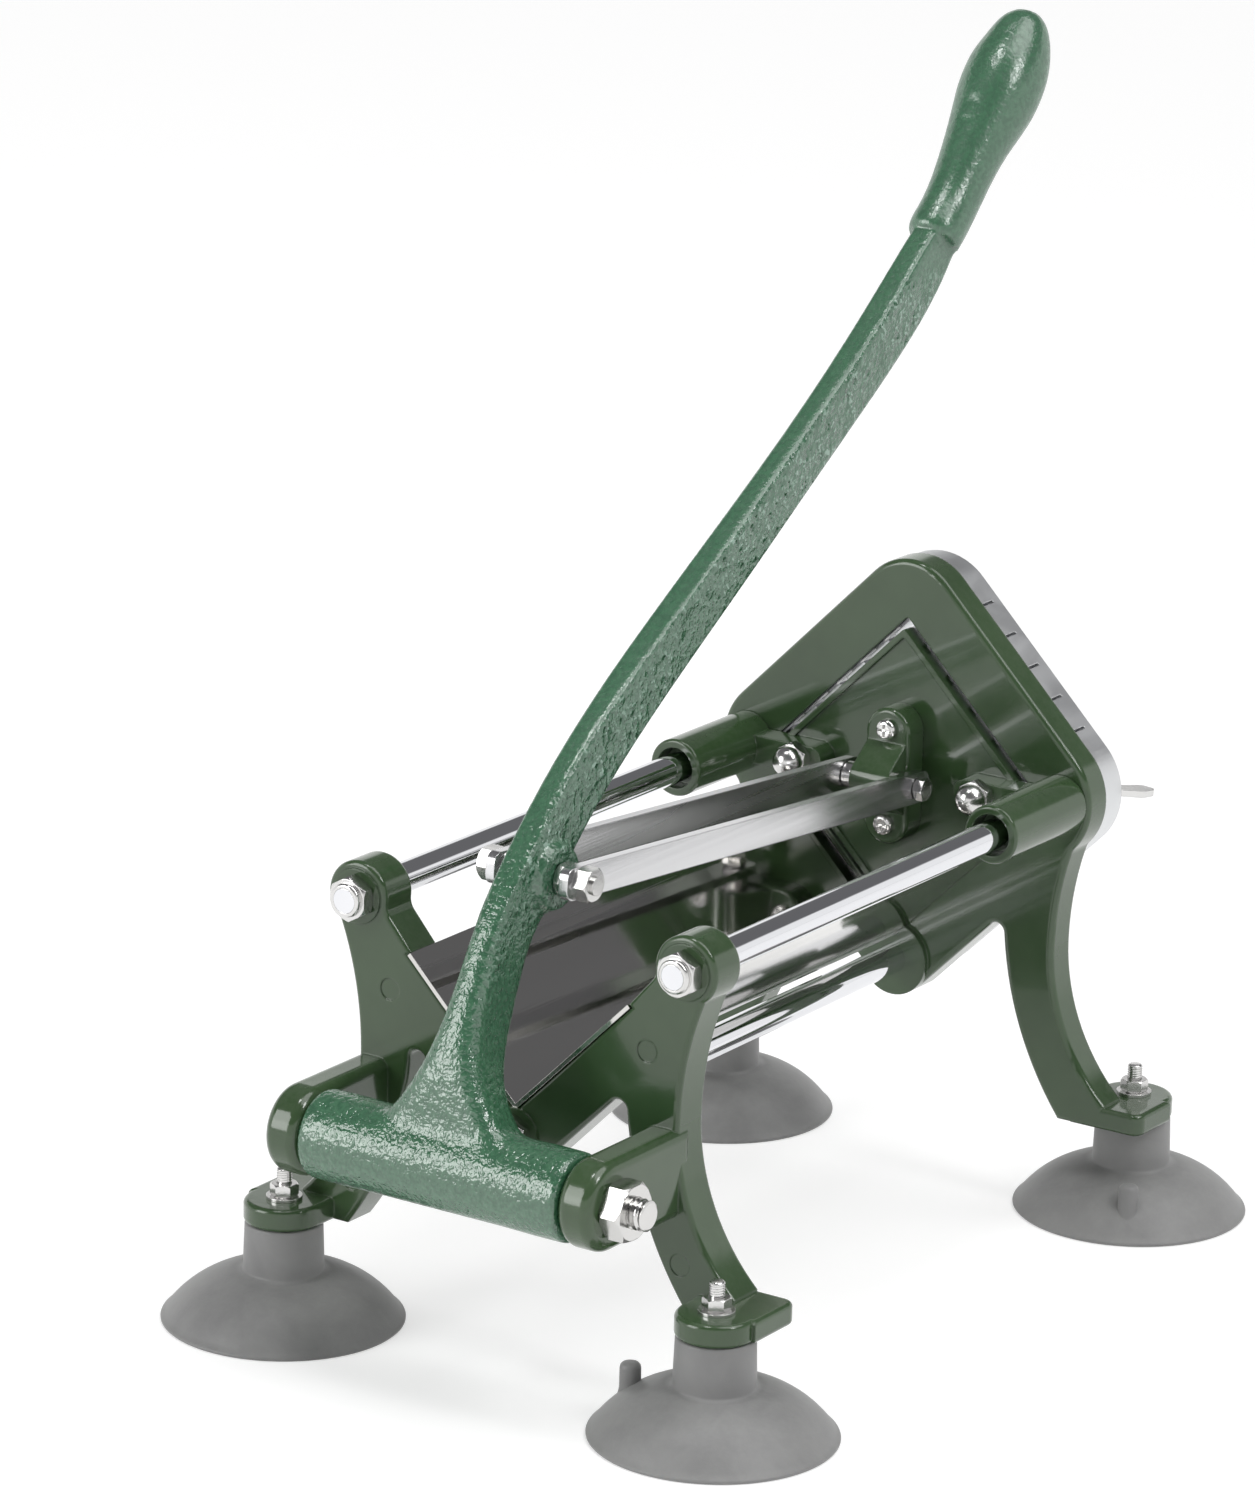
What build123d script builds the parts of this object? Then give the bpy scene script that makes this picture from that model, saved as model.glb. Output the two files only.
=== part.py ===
from build123d import *
import os
from math import atan2, degrees, sqrt

# A bench-top french fry cutter: a long cast handle swings on a cross bolt, drives a push
# block forward along two chromed rods and presses a potato through a square blade grid.
#
# Frame: +X runs from the handle pivot end to the blade end, +Y to the left, +Z up.
# The pieces are drawn with X = 0 midway between the two rear suction cups and are written
# with the origin on the counter, under the middle of the overall length. Millimetres.

# ---------------------------------------------------------------- stance
FOOT_SPACING_X = 253.0
FOOT_SPACING_Y = 163.8
PAD_THICKNESS = 7.4
PAD_END_RADIUS = 12.9
PAD_SIDE_Y = 96.0
PAD_CORNER_RADIUS = 4.0

# ---------------------------------------------------------------- suction cups
CUP_RIM_RADIUS = 39.0
CUP_RIM_HEIGHT = 1.2
CUP_LIP = 1.6
CUP_SHOULDER_RADIUS = 13.8
CUP_SHOULDER_HEIGHT = 16.6
CUP_NECK_BASE_RADIUS = 12.9
CUP_NECK_TOP_RADIUS = 12.5
CUP_NECK_BASE_HEIGHT = 17.4
CUP_HEIGHT = 33.0
CUP_DOME_RISE = 3.0
CUP_HOLLOW_DEPTH = 9.0
CUP_TAB_RADIUS = 3.4
CUP_TAB_TIP_RADIUS = 1.5
CUP_TAB_REACH = 29.0
CUP_TAB_TOP = 18.3
CUP_TAB_FOOT = 5.4
CUP_TAB_ANGLES = {"rear_right": 96.0, "rear_left": 35.0, "front_right": 208.5, "front_left": 35.0}

# ---------------------------------------------------------------- foot studs
STUD_RADIUS = 2.5
STUD_RISE = 10.2
STUD_HEAD_RADIUS = 7.5
STUD_HEAD_THICKNESS = 2.5
STUD_HEAD_HEIGHT = 17.0
STUD_WASHER_RADIUS = 5.8
STUD_WASHER_THICKNESS = 1.1
STUD_NUT_FLATS = 8.0
STUD_NUT_HEIGHT = 4.0

# ---------------------------------------------------------------- guide rods
ROD_RADIUS = 5.0
ROD_SIDE_Y = 61.3
ROD_SIDE_Z = 109.3
ROD_BOTTOM_Z = 44.0
ROD_THREAD_RADIUS = 4.0
LOCK_NUT_FLATS = 13.0
LOCK_NUT_HEIGHT = 6.3
LOCK_NUT_CROWN = 1.6
LOCK_NUT_CROWN_RADIUS = 5.5
LOCK_NUT_CROWN_ROUND = 1.0
LOCK_NUT_BOSS_HEIGHT = 0.6
LOCK_NUT_BOSS_RADIUS = 9.0

# ---------------------------------------------------------------- rear frame
REAR_FRAME_BACK = 9.0
REAR_FRAME_THICKNESS = 14.5
CASTING_EDGE_RADIUS = 1.6

# leg and V web outline shared by both frames, as (y, z)
LUG_RADIUS = 11.2
APEX_RADIUS = 12.6
WEB_TOP_END = (51.0, 106.4)
WEB_TOP_BLEND = 5.0
WEB_CORNER_RADIUS = 3.0
LEG_SHOULDER = (68.3, 101.0)
LEG_WAIST = (60.0, 59.0)
LEG_HEEL = (82.1, 8.0)
LEG_CROTCH = (40.5, 67.1)
LEG_INNER_MID = (47.2, 31.4)
LEG_INNER_FOOT_Y = 64.3
LEG_PLATE_BLEND = 6.0
EJECTOR_MARK_RADIUS = 3.6
EJECTOR_MARK_DEPTH = 0.35
EJECTOR_MARKS = ((48.3, 81.3), (62.1, 15.2))

# ---------------------------------------------------------------- handle pivot
PIVOT_X = -25.5
PIVOT_Z = 43.8
PIVOT_BOLT_RADIUS = 5.0
PIVOT_ARM_INNER_Y = 48.6
PIVOT_ARM_OUTER_Y = 61.0
PIVOT_EYE_RADIUS = 14.3
PIVOT_EDGE_RADIUS = 3.6
PIVOT_NUT_FLATS = 17.0
PIVOT_NUT_HEIGHT = 7.6
PIVOT_HEAD_RADIUS = 8.0
PIVOT_HEAD_HEIGHT = 6.4
PIVOT_SOCKET_FLATS = 8.0
PIVOT_SOCKET_DEPTH = 4.0
PIVOT_COUNTERBORE_CLEARANCE = 0.3
PIVOT_BOLT_END = 5.0
HUB_RADIUS = 14.2
RUNNING_CLEARANCE = 0.05
SIDE_CLEARANCE = 0.3

# ---------------------------------------------------------------- trough
TROUGH_INNER_Z = 54.0
TROUGH_EDGE_Y = 40.7
TROUGH_SHEET = 1.4
TROUGH_SEAT_DEPTH = 2.0

# ---------------------------------------------------------------- front frame
FRONT_PLATE_BACK = 232.0
FRONT_PLATE_THICKNESS = 11.2
PLATE_CENTRE_Z = 109.0
PLATE_RIM = 19.5
PLATE_TOP_CORNER = 20.0
PLATE_SIDE_CORNER = 22.0
OPENING_STEP = 1.2
OPENING_CORNER = 1.0
OPENING_LIP = 3.0
PLATE_EDGE_RADIUS = 2.0
BOTTOM_BOSS_PROUD = 2.0
BOTTOM_THREAD_DEPTH = 9.0

# ---------------------------------------------------------------- blade frame
BLADE_FRAME_RIM = 18.1
BLADE_FRAME_CORNER = 22.0
BLADE_END_RECESS = 2.4
BLADE_FRAME_THICKNESS = 10.5
BLADE_PITCH = 13.0
BLADE_COUNT = 5
BLADE_THICKNESS = 0.8
BLADE_DEPTH = 6.5
BLADE_SLOT_CLEARANCE = 0.05
HOLE_CLEARANCE = 0.15

# ---------------------------------------------------------------- wing nuts
WING_HUB_BASE_RADIUS = 6.6
WING_HUB_TOP_RADIUS = 5.2
WING_HUB_HEIGHT = 7.4
WING_SPAN = 33.6
WING_HEIGHT = 12.4
WING_THICKNESS = 2.2
WING_TIP_RADIUS = 1.6
WING_TIP_WIDTH = 6.0
WING_TAPER = 2.0
WING_ROOT_HEIGHT = 1.2
WING_NECK_DROP = 5.6
WING_SADDLE_DROP = 1.0
WING_NUT_GAP = 0.3
WING_ANGLE = -4.0
WING_THREAD_LENGTH = 9.0

# ---------------------------------------------------------------- pusher
SLEEVE_RADIUS = 9.8
SLEEVE_EDGE_RADIUS = 1.1
SLEEVE_BACK = 187.0
SLEEVE_MOUTH_RADIUS = 7.0
SLEEVE_MOUTH_DEPTH = 7.0
PUSHER_GAP = 2.6
PUSHER_WEB_BACK = 231.0
PUSHER_WEB_THICKNESS = 4.0
PUSHER_RIM_BACK = 229.8
PUSHER_RIM_WIDTH = 2.0
STRAP_BACK = 222.0
STRAP_HALF_HEIGHT = 5.0
STRAP_CORNER_RADIUS = 4.9
STRAP_INNER_Y = 31.0
BRACKET_WIDTH = 17.0
BRACKET_HEIGHT = 47.0
BRACKET_BACK = 221.5
BRACKET_SCREW_SPACING = 32.7
BRACKET_SCREW_HEAD_RADIUS = 3.7
BRACKET_SCREW_HEAD_HEIGHT = 2.4
BRACKET_SCREW_HEAD_ROUND = 1.7
BRACKET_SCREW_RADIUS = 2.5
RECESS_SPAN = 4.3
RECESS_WIDTH = 0.9
RECESS_DEPTH = 1.2
LUG_HALF_WIDTH = 7.4
LUG_NOSE_RADIUS = 6.5
LUG_ROOT_HEIGHT = 24.0
LUG_ROOT_DEPTH = 2.0

# ---------------------------------------------------------------- push block
BLOCK_STEP = 0.6
BLOCK_BASE_THICKNESS = 7.0
FINGER_GAP = 1.4
FINGER_LENGTH = 10.5
BLOCK_STUD_Y = 35.7
BLOCK_STUD_RADIUS = 3.0
ACORN_FLATS = 11.1
ACORN_HEX_HEIGHT = 4.2
ACORN_DOME_RADIUS = 5.3
ACORN_CENTRE_HEIGHT = 4.9

# ---------------------------------------------------------------- links
HANDLE_PIN_X = 20.1
HANDLE_PIN_Z = 125.8
PUSHER_PIN_X = 216.6
PUSHER_PIN_Z = 109.6
LINK_INNER_Y = 12.0
LINK_THICKNESS = 3.3
LINK_HEIGHT = 10.4
LINK_END_REACH = 7.4
LINK_CORNER_RADIUS = 3.6
PUSHER_PIN_RADIUS = 2.5
PUSHER_PIN_NUT_FLATS = 7.0
PUSHER_PIN_NUT_HEIGHT = 3.4
PUSHER_SPACER_RADIUS = 4.6
HANDLE_STUD_RADIUS = 3.0
HANDLE_NUT_FLATS = 10.0
HANDLE_NUT_HEIGHT = 5.2
HANDLE_STUD_END = 1.0

# ---------------------------------------------------------------- handle
ARM_WIDTH = 9.4
ARM_EDGE_RADIUS = 1.6
HANDLE_BOSS_HALF = 8.0
HANDLE_BOSS_RADIUS = 10.2
HANDLE_BOSS_ROOT_RADIUS = 11.2
# stations of the arm, from the hub upward: x, z, depth, width, corner radius
ARM_STATIONS = (
    (-25.2, 47.0, 17.0, 58.0, 5.0),
    (-22.8, 59.0, 20.0, 40.0, 6.0),
    (-20.0, 69.2, 22.5, 25.4, 6.0),
    (-14.6, 81.1, 25.0, 15.6, 5.0),
    (-8.4, 93.1, 24.5, 12.2, 4.0),
    (-2.0, 105.5, 23.0, 10.4, 3.0),
    (8.2, 120.0, 21.5, ARM_WIDTH, ARM_EDGE_RADIUS),
    (24.0, 137.0, 21.0, ARM_WIDTH, ARM_EDGE_RADIUS),
    (60.9, 167.0, 20.2, ARM_WIDTH, ARM_EDGE_RADIUS),
    (124.5, 207.0, 18.6, ARM_WIDTH, ARM_EDGE_RADIUS),
    (187.5, 247.0, 18.2, ARM_WIDTH, ARM_EDGE_RADIUS),
    (237.8, 285.6, 16.8, ARM_WIDTH, ARM_EDGE_RADIUS),
    (246.5, 294.6, 12.0, ARM_WIDTH, ARM_EDGE_RADIUS),
)
# stations of the round grip, from the step upward: x, z, diameter
GRIP_STATIONS = (
    (239.6, 288.2, 17.4),
    (245.6, 294.7, 18.6),
    (255.9, 305.9, 19.1),
    (264.0, 315.7, 21.5),
    (269.9, 322.2, 24.3),
    (275.6, 328.7, 26.9),
    (280.6, 334.8, 27.5),
    (285.0, 340.2, 26.2),
    (288.6, 345.0, 23.2),
    (291.3, 349.8, 19.2),
    (293.5, 354.0, 13.4),
    (294.6, 356.3, 6.4),
)

SIDES = {"left": 1.0, "right": -1.0}
ENDS = {"rear": 0.0, "front": FOOT_SPACING_X}

# heights are measured from the underside of the foot pads, the cups' own from the counter
PAD_UNDERSIDE = 0.0
COUNTER_Z = PAD_UNDERSIDE - CUP_HEIGHT
PAD_TOP = PAD_UNDERSIDE + PAD_THICKNESS
FOOT_Y = FOOT_SPACING_Y / 2.0
REAR_FRAME_FRONT = REAR_FRAME_BACK + REAR_FRAME_THICKNESS
FRONT_PLATE_FRONT = FRONT_PLATE_BACK + FRONT_PLATE_THICKNESS
BLADE_FRAME_FRONT = FRONT_PLATE_FRONT + BLADE_FRAME_THICKNESS
BOTTOM_BOSS_FACE = FRONT_PLATE_BACK - BOTTOM_BOSS_PROUD
LOCK_NUT_SEAT_X = REAR_FRAME_BACK - LOCK_NUT_BOSS_HEIGHT
LOCK_FACE_X = LOCK_NUT_SEAT_X - LOCK_NUT_HEIGHT
PUSHER_FRONT = PUSHER_WEB_BACK + PUSHER_WEB_THICKNESS
GRID_HALF = (BLADE_COUNT + 1) * BLADE_PITCH / 2.0
OPENING_HALF = GRID_HALF - OPENING_STEP
PLATE_HALF = OPENING_HALF + PLATE_RIM
BLADE_FRAME_HALF = GRID_HALF + BLADE_FRAME_RIM
PUSHER_HALF = OPENING_HALF - PUSHER_GAP
BLOCK_HALF = PUSHER_HALF - BLOCK_STEP
FINGER_SIDE = BLADE_PITCH - BLADE_THICKNESS - 2 * FINGER_GAP
BLOCK_BASE_FRONT = PUSHER_FRONT + BLOCK_BASE_THICKNESS
LINK_OUTER_Y = LINK_INNER_Y + LINK_THICKNESS
HUB_HALF_LENGTH = PIVOT_ARM_INNER_Y - SIDE_CLEARANCE
JAM_NUT_INNER_Y = HANDLE_BOSS_HALF + SIDE_CLEARANCE
SLOT_WIDTH = BLADE_THICKNESS + 2 * BLADE_SLOT_CLEARANCE
SQRT_HALF = sqrt(0.5)

MEETING_TOLERANCE = 0.05
# how far a cut runs past the face it opens
OVERCUT = 1.0
GRID_TURNS = (45.0, -45.0)
# share of the corner height that a nut chamfer takes
NUT_CHAMFER = 0.9
UPWARD = (Align.CENTER, Align.CENTER, Align.MIN)


# ---------------------------------------------------------------- helpers
def bar_x(radius, x_from, x_to, y=0.0, z=0.0):
    """Round bar along X."""
    return Pos(x_from, y, z) * Rot(0, 90, 0) * Cylinder(radius, x_to - x_from, align=UPWARD)


def bar_y(radius, y_from, y_to, x=0.0, z=0.0):
    """Round bar along Y."""
    return Pos(x, y_from, z) * Rot(-90, 0, 0) * Cylinder(radius, y_to - y_from, align=UPWARD)


def bar_z(radius, z_from, z_to, x=0.0, y=0.0):
    """Upright round bar."""
    return Pos(x, y, z_from) * Cylinder(radius, z_to - z_from, align=UPWARD)


def slab_x(outline, x_from, thickness):
    """Extrude an outline drawn in (y, z) forward from x_from."""
    return Pos(x_from, 0, 0) * extrude(Plane.YZ * outline, thickness)


def slab_y(outline, y_from, y_to):
    """Extrude an outline drawn in (x, z) from y_from to y_to."""
    plane = Plane(origin=(0, y_from, 0), x_dir=(1, 0, 0), z_dir=(0, -1, 0))
    return extrude(plane * outline, -(y_to - y_from))


def through_hole(radius, height):
    """Cutter for a hole along Z through a piece that stands on Z = 0."""
    return bar_z(radius, -OVERCUT, height + OVERCUT)


def diamond(half_side, top=0.0, side=0.0, bottom=0.0):
    """Square standing on one corner, centred at the plate centre, with rounded corners."""
    square = Rot(0, 0, 45) * Rectangle(2 * half_side, 2 * half_side)
    face = Pos(0, PLATE_CENTRE_Z) * square
    corners = face.vertices().sort_by(Axis.Y)
    for radius, points in ((bottom, corners[:1]), (side, corners[1:3]), (top, corners[3:])):
        for point in points:
            if radius > 0:
                nearest = face.vertices().sort_by_distance(tuple(point))[0]
                face = fillet(nearest, radius)
    return face


def hex_nut(flats, height, hole_radius):
    """Chamfered hexagon nut standing on Z = 0."""
    corner_radius = flats / sqrt(3.0)
    blank = Cylinder(corner_radius, height, align=UPWARD)
    rims = blank.edges().filter_by(GeomType.CIRCLE)
    blank = chamfer(rims, (corner_radius - flats / 2.0) * NUT_CHAMFER)
    nut = blank & extrude(RegularPolygon(corner_radius, 6), height)
    if hole_radius > 0:
        nut -= through_hole(hole_radius, height)
    return nut


def round_corner(face, point, radius):
    """Round the corner of an outline that lies nearest to a point."""
    return fillet(face.vertices().sort_by_distance((*point, 0))[0], radius)


def compound(solids):
    """Group of separate identical pieces."""
    return Compound(children=list(solids))


# ---------------------------------------------------------------- frames
def half_frame_outline():
    """Lug, half V web and leg of the left side, in (y, z)."""
    saddle_z = TROUGH_INNER_Z - TROUGH_SHEET / SQRT_HALF
    sheet_step = TROUGH_SHEET * SQRT_HALF
    trough_edge = (TROUGH_EDGE_Y, TROUGH_EDGE_Y + TROUGH_INNER_Z)
    sheet_edge = (trough_edge[0] + sheet_step, trough_edge[1] - sheet_step)
    apex_low = (0, ROD_BOTTOM_Z - APEX_RADIUS)
    apex_tangent = (APEX_RADIUS * SQRT_HALF, ROD_BOTTOM_Z - APEX_RADIUS * SQRT_HALF)
    foot_inner = (LEG_INNER_FOOT_Y, PAD_UNDERSIDE)
    top = Polyline(apex_low, (0, saddle_z), sheet_edge, trough_edge, WEB_TOP_END,
                   (ROD_SIDE_Y, ROD_SIDE_Z), LEG_SHOULDER)
    shoulder = TangentArc(LEG_WAIST, LEG_SHOULDER, tangent=(0, 1))
    shin = TangentArc(LEG_WAIST, LEG_HEEL, tangent=(0, -1))
    foot = Polyline(LEG_HEEL, (LEG_HEEL[0], PAD_UNDERSIDE), foot_inner)
    inner = ThreePointArc(foot_inner, LEG_INNER_MID, LEG_CROTCH)
    web = Line(LEG_CROTCH, apex_tangent)
    apex = TangentArc(apex_tangent, apex_low, tangent=(-1, -1))
    face = make_face([*top.edges(), shoulder, shin, *foot.edges(), inner, web, apex])
    return round_corner(face, LEG_CROTCH, WEB_CORNER_RADIUS)


def legs_outline():
    """Both legs and the V web, in (y, z)."""
    half = half_frame_outline()
    return half + mirror(half, Plane.YZ)


def rear_outline():
    """Legs and V web with the two rod lugs."""
    outline = legs_outline()
    for side in SIDES.values():
        outline += Pos(side * ROD_SIDE_Y, ROD_SIDE_Z) * Circle(LUG_RADIUS)
    for side in SIDES.values():
        outline = round_corner(outline, (side * WEB_TOP_END[0], WEB_TOP_END[1]), WEB_TOP_BLEND)
    return outline


def front_outline():
    """Legs and V web with the diamond plate."""
    legs = legs_outline()
    plate = diamond(PLATE_HALF, PLATE_TOP_CORNER, PLATE_SIDE_CORNER, APEX_RADIUS)
    outline = legs + plate
    known = [*legs.vertices(), *plate.vertices()]
    joints = [corner for corner in outline.vertices()
              if min(corner.distance_to(other) for other in known) > MEETING_TOLERANCE]
    return fillet(joints, LEG_PLATE_BLEND)


def foot_pad(stud_x, frame_x):
    """Pad under a leg: round about the stud, square where it runs out to the frame."""
    inner_y = FOOT_Y - PAD_END_RADIUS
    run = Polyline((stud_x, inner_y), (frame_x, inner_y), (frame_x, PAD_SIDE_Y),
                   (stud_x, PAD_SIDE_Y), close=True)
    plan = make_face(run.edges())
    outer_corner = plan.vertices().sort_by_distance((frame_x, PAD_SIDE_Y, 0))[0]
    plan = fillet(outer_corner, PAD_CORNER_RADIUS)
    plan += Pos(stud_x, FOOT_Y) * Circle(PAD_END_RADIUS)
    pad = Pos(0, 0, PAD_UNDERSIDE) * extrude(plan, PAD_THICKNESS)
    rims = pad.faces().sort_by(Axis.Z)[-1].edges() + pad.faces().sort_by(Axis.Z)[0].edges()
    pad = fillet(rims, CASTING_EDGE_RADIUS)
    return pad - bar_z(STUD_RADIUS + HOLE_CLEARANCE, PAD_UNDERSIDE - OVERCUT, PAD_TOP + OVERCUT,
                       stud_x, FOOT_Y)


def rimmed_plate(outline, back, thickness, back_radius, front_radius):
    """Cast plate with its outer and inner rims rounded."""
    plate = slab_x(outline, back, thickness)
    faces = plate.faces().sort_by(Axis.X)
    plate = fillet(faces[0].edges(), back_radius)
    if front_radius > 0:
        front = plate.faces().sort_by(Axis.X)[-1]
        plate = fillet(front.edges(), front_radius)
    return plate


def pivot_arm():
    """Left arm that carries one end of the handle bolt, drawn in (x, z)."""
    root_x = REAR_FRAME_BACK + REAR_FRAME_THICKNESS / 2.0
    bar = Rectangle(root_x - PIVOT_X, 2 * PIVOT_EYE_RADIUS, align=(Align.MIN, Align.CENTER))
    outline = Pos(PIVOT_X, PIVOT_Z) * (bar + Circle(PIVOT_EYE_RADIUS))
    arm = slab_y(outline, PIVOT_ARM_INNER_Y, PIVOT_ARM_OUTER_Y)
    outer_face = arm.faces().sort_by(Axis.Y)[-1]
    inner_face = arm.faces().sort_by(Axis.Y)[0]
    arm = fillet(outer_face.edges() + inner_face.edges(), PIVOT_EDGE_RADIUS)
    return arm


def rod_thread_hole(x_from, x_to, y, z, clearance=0.0):
    """Cutter for a rod's threaded end."""
    return bar_x(ROD_THREAD_RADIUS + clearance, x_from, x_to, y, z)


def rear_frame():
    frame = rimmed_plate(rear_outline(), REAR_FRAME_BACK, REAR_FRAME_THICKNESS,
                         CASTING_EDGE_RADIUS, CASTING_EDGE_RADIUS)
    for piece in (pivot_arm(), foot_pad(ENDS["rear"], REAR_FRAME_FRONT)):
        frame += piece + mirror(piece, Plane.XZ)
    for y, z in rod_places():
        frame += bar_x(LOCK_NUT_BOSS_RADIUS, LOCK_NUT_SEAT_X, REAR_FRAME_FRONT, y, z)
        frame -= rod_thread_hole(LOCK_FACE_X, REAR_FRAME_FRONT + OVERCUT, y, z)
    for side in SIDES.values():
        for mark_y, mark_z in EJECTOR_MARKS:
            frame -= bar_x(EJECTOR_MARK_RADIUS, REAR_FRAME_BACK - OVERCUT,
                           REAR_FRAME_BACK + EJECTOR_MARK_DEPTH, side * mark_y, mark_z)
    past_arm = PIVOT_ARM_OUTER_Y + OVERCUT
    frame -= bar_y(PIVOT_BOLT_RADIUS, -past_arm, past_arm, PIVOT_X, PIVOT_Z)
    frame -= bar_y(PIVOT_HEAD_RADIUS + PIVOT_COUNTERBORE_CLEARANCE,
                   PIVOT_ARM_OUTER_Y - PIVOT_HEAD_HEIGHT, past_arm, PIVOT_X, PIVOT_Z)
    return frame - trough()


def front_frame():
    opening = diamond(OPENING_HALF, OPENING_CORNER, OPENING_CORNER, OPENING_CORNER)
    frame = rimmed_plate(front_outline(), FRONT_PLATE_BACK, FRONT_PLATE_THICKNESS,
                         PLATE_EDGE_RADIUS, 0)
    pad = foot_pad(ENDS["front"], FRONT_PLATE_BACK)
    frame += pad + mirror(pad, Plane.XZ)
    frame += bar_x(APEX_RADIUS, BOTTOM_BOSS_FACE, FRONT_PLATE_FRONT, 0, ROD_BOTTOM_Z)
    frame -= slab_x(opening, BOTTOM_BOSS_FACE - OVERCUT,
                    FRONT_PLATE_FRONT - BOTTOM_BOSS_FACE + 2 * OVERCUT)
    relief = diamond(GRID_HALF, OPENING_CORNER, OPENING_CORNER, OPENING_CORNER)
    frame -= slab_x(relief, FRONT_PLATE_BACK + OPENING_LIP, FRONT_PLATE_THICKNESS)
    frame -= rod_thread_hole(BOTTOM_BOSS_FACE - OVERCUT, FRONT_PLATE_BACK + BOTTOM_THREAD_DEPTH,
                             0, ROD_BOTTOM_Z)
    for side in SIDES.values():
        frame -= rod_thread_hole(FRONT_PLATE_BACK - OVERCUT, FRONT_PLATE_FRONT + OVERCUT,
                                 side * ROD_SIDE_Y, ROD_SIDE_Z, HOLE_CLEARANCE)
    return frame - trough()


def trough():
    """Folded V sheet between the frames."""
    half = TROUGH_SHEET * SQRT_HALF
    inner_low = (0, TROUGH_INNER_Z)
    inner_end = (TROUGH_EDGE_Y, TROUGH_EDGE_Y + TROUGH_INNER_Z)
    outer_end = (inner_end[0] + half, inner_end[1] - half)
    outer_low = (0, TROUGH_INNER_Z - TROUGH_SHEET / SQRT_HALF)
    wing = make_face(Polyline(inner_low, inner_end, outer_end, outer_low, close=True).edges())
    profile = wing + mirror(wing, Plane.YZ)
    length = FRONT_PLATE_BACK + TROUGH_SEAT_DEPTH - REAR_FRAME_BACK
    return slab_x(profile, REAR_FRAME_BACK, length)


# ---------------------------------------------------------------- feet
def suction_cup(end, side):
    """Moulded cup with a hollow underside and a release tab."""
    inner_radius = CUP_RIM_RADIUS - CUP_LIP
    dome_mid = ((CUP_RIM_RADIUS + CUP_SHOULDER_RADIUS) / 2.0,
                (CUP_RIM_HEIGHT + CUP_SHOULDER_HEIGHT) / 2.0 + CUP_DOME_RISE / 2.0)
    base = Line((0, CUP_HOLLOW_DEPTH), (0, CUP_HEIGHT))
    neck = Polyline((0, CUP_HEIGHT), (CUP_NECK_TOP_RADIUS, CUP_HEIGHT),
                    (CUP_NECK_BASE_RADIUS, CUP_NECK_BASE_HEIGHT),
                    (CUP_SHOULDER_RADIUS, CUP_SHOULDER_HEIGHT))
    dome = ThreePointArc((CUP_SHOULDER_RADIUS, CUP_SHOULDER_HEIGHT), dome_mid,
                         (CUP_RIM_RADIUS, CUP_RIM_HEIGHT))
    lip = Polyline((CUP_RIM_RADIUS, CUP_RIM_HEIGHT), (CUP_RIM_RADIUS - CUP_LIP / 2.0, 0),
                   (inner_radius, 0))
    hollow = TangentArc((0, CUP_HOLLOW_DEPTH), (inner_radius, 0), tangent=(1, 0))
    outline = make_face([base, *neck.edges(), dome, *lip.edges(), hollow])
    cup = revolve(Plane.XZ * outline, Axis.Z)
    tab = Pos(CUP_TAB_REACH, 0, CUP_TAB_FOOT) * Cylinder(
        CUP_TAB_RADIUS, CUP_TAB_TOP - CUP_TAB_FOOT, align=UPWARD)
    tab = fillet(tab.faces().sort_by(Axis.Z)[-1].edges(), CUP_TAB_TIP_RADIUS)
    cup += Rot(0, 0, CUP_TAB_ANGLES[end + "_" + side]) * tab
    cup = Pos(0, 0, COUNTER_Z) * cup - foot_stud()
    return Pos(ENDS[end], SIDES[side] * FOOT_Y, 0) * cup


def foot_stud():
    """Stud with a disc head moulded into the cup, on the cup axis."""
    head_low = COUNTER_Z + STUD_HEAD_HEIGHT
    head = bar_z(STUD_HEAD_RADIUS, head_low, head_low + STUD_HEAD_THICKNESS)
    return head + bar_z(STUD_RADIUS, head_low, PAD_TOP + STUD_RISE)


def at_feet(piece):
    """One copy of a piece on each foot axis."""
    places = [(x, side * FOOT_Y) for x in ENDS.values() for side in SIDES.values()]
    return compound([Pos(x, y, 0) * piece for x, y in places])


def foot_washer():
    ring = Cylinder(STUD_WASHER_RADIUS, STUD_WASHER_THICKNESS, align=UPWARD)
    ring -= through_hole(STUD_RADIUS, STUD_WASHER_THICKNESS)
    return Pos(0, 0, PAD_TOP) * ring


def foot_nut():
    nut = hex_nut(STUD_NUT_FLATS, STUD_NUT_HEIGHT, STUD_RADIUS)
    return Pos(0, 0, PAD_TOP + STUD_WASHER_THICKNESS) * nut


# ---------------------------------------------------------------- rods
def rod_places():
    """Axes of the two side rods and the bottom rod, in (y, z)."""
    return [(side * ROD_SIDE_Y, ROD_SIDE_Z) for side in SIDES.values()] + [(0, ROD_BOTTOM_Z)]


def side_rod(side):
    """Guide rod with threaded ends, clamped through both frames and the blade frame."""
    y = SIDES[side] * ROD_SIDE_Y
    front_end = BLADE_FRAME_FRONT + WING_NUT_GAP + WING_THREAD_LENGTH
    rod = bar_x(ROD_RADIUS, REAR_FRAME_FRONT, FRONT_PLATE_BACK, y, ROD_SIDE_Z)
    return rod + bar_x(ROD_THREAD_RADIUS, LOCK_FACE_X, front_end, y, ROD_SIDE_Z)


def bottom_rod():
    """Tie rod under the trough, screwed into the blind boss of the front plate."""
    rod = bar_x(ROD_RADIUS, REAR_FRAME_FRONT, BOTTOM_BOSS_FACE, 0, ROD_BOTTOM_Z)
    thread_end = FRONT_PLATE_BACK + BOTTOM_THREAD_DEPTH
    return rod + bar_x(ROD_THREAD_RADIUS, LOCK_FACE_X, thread_end, 0, ROD_BOTTOM_Z)


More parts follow.
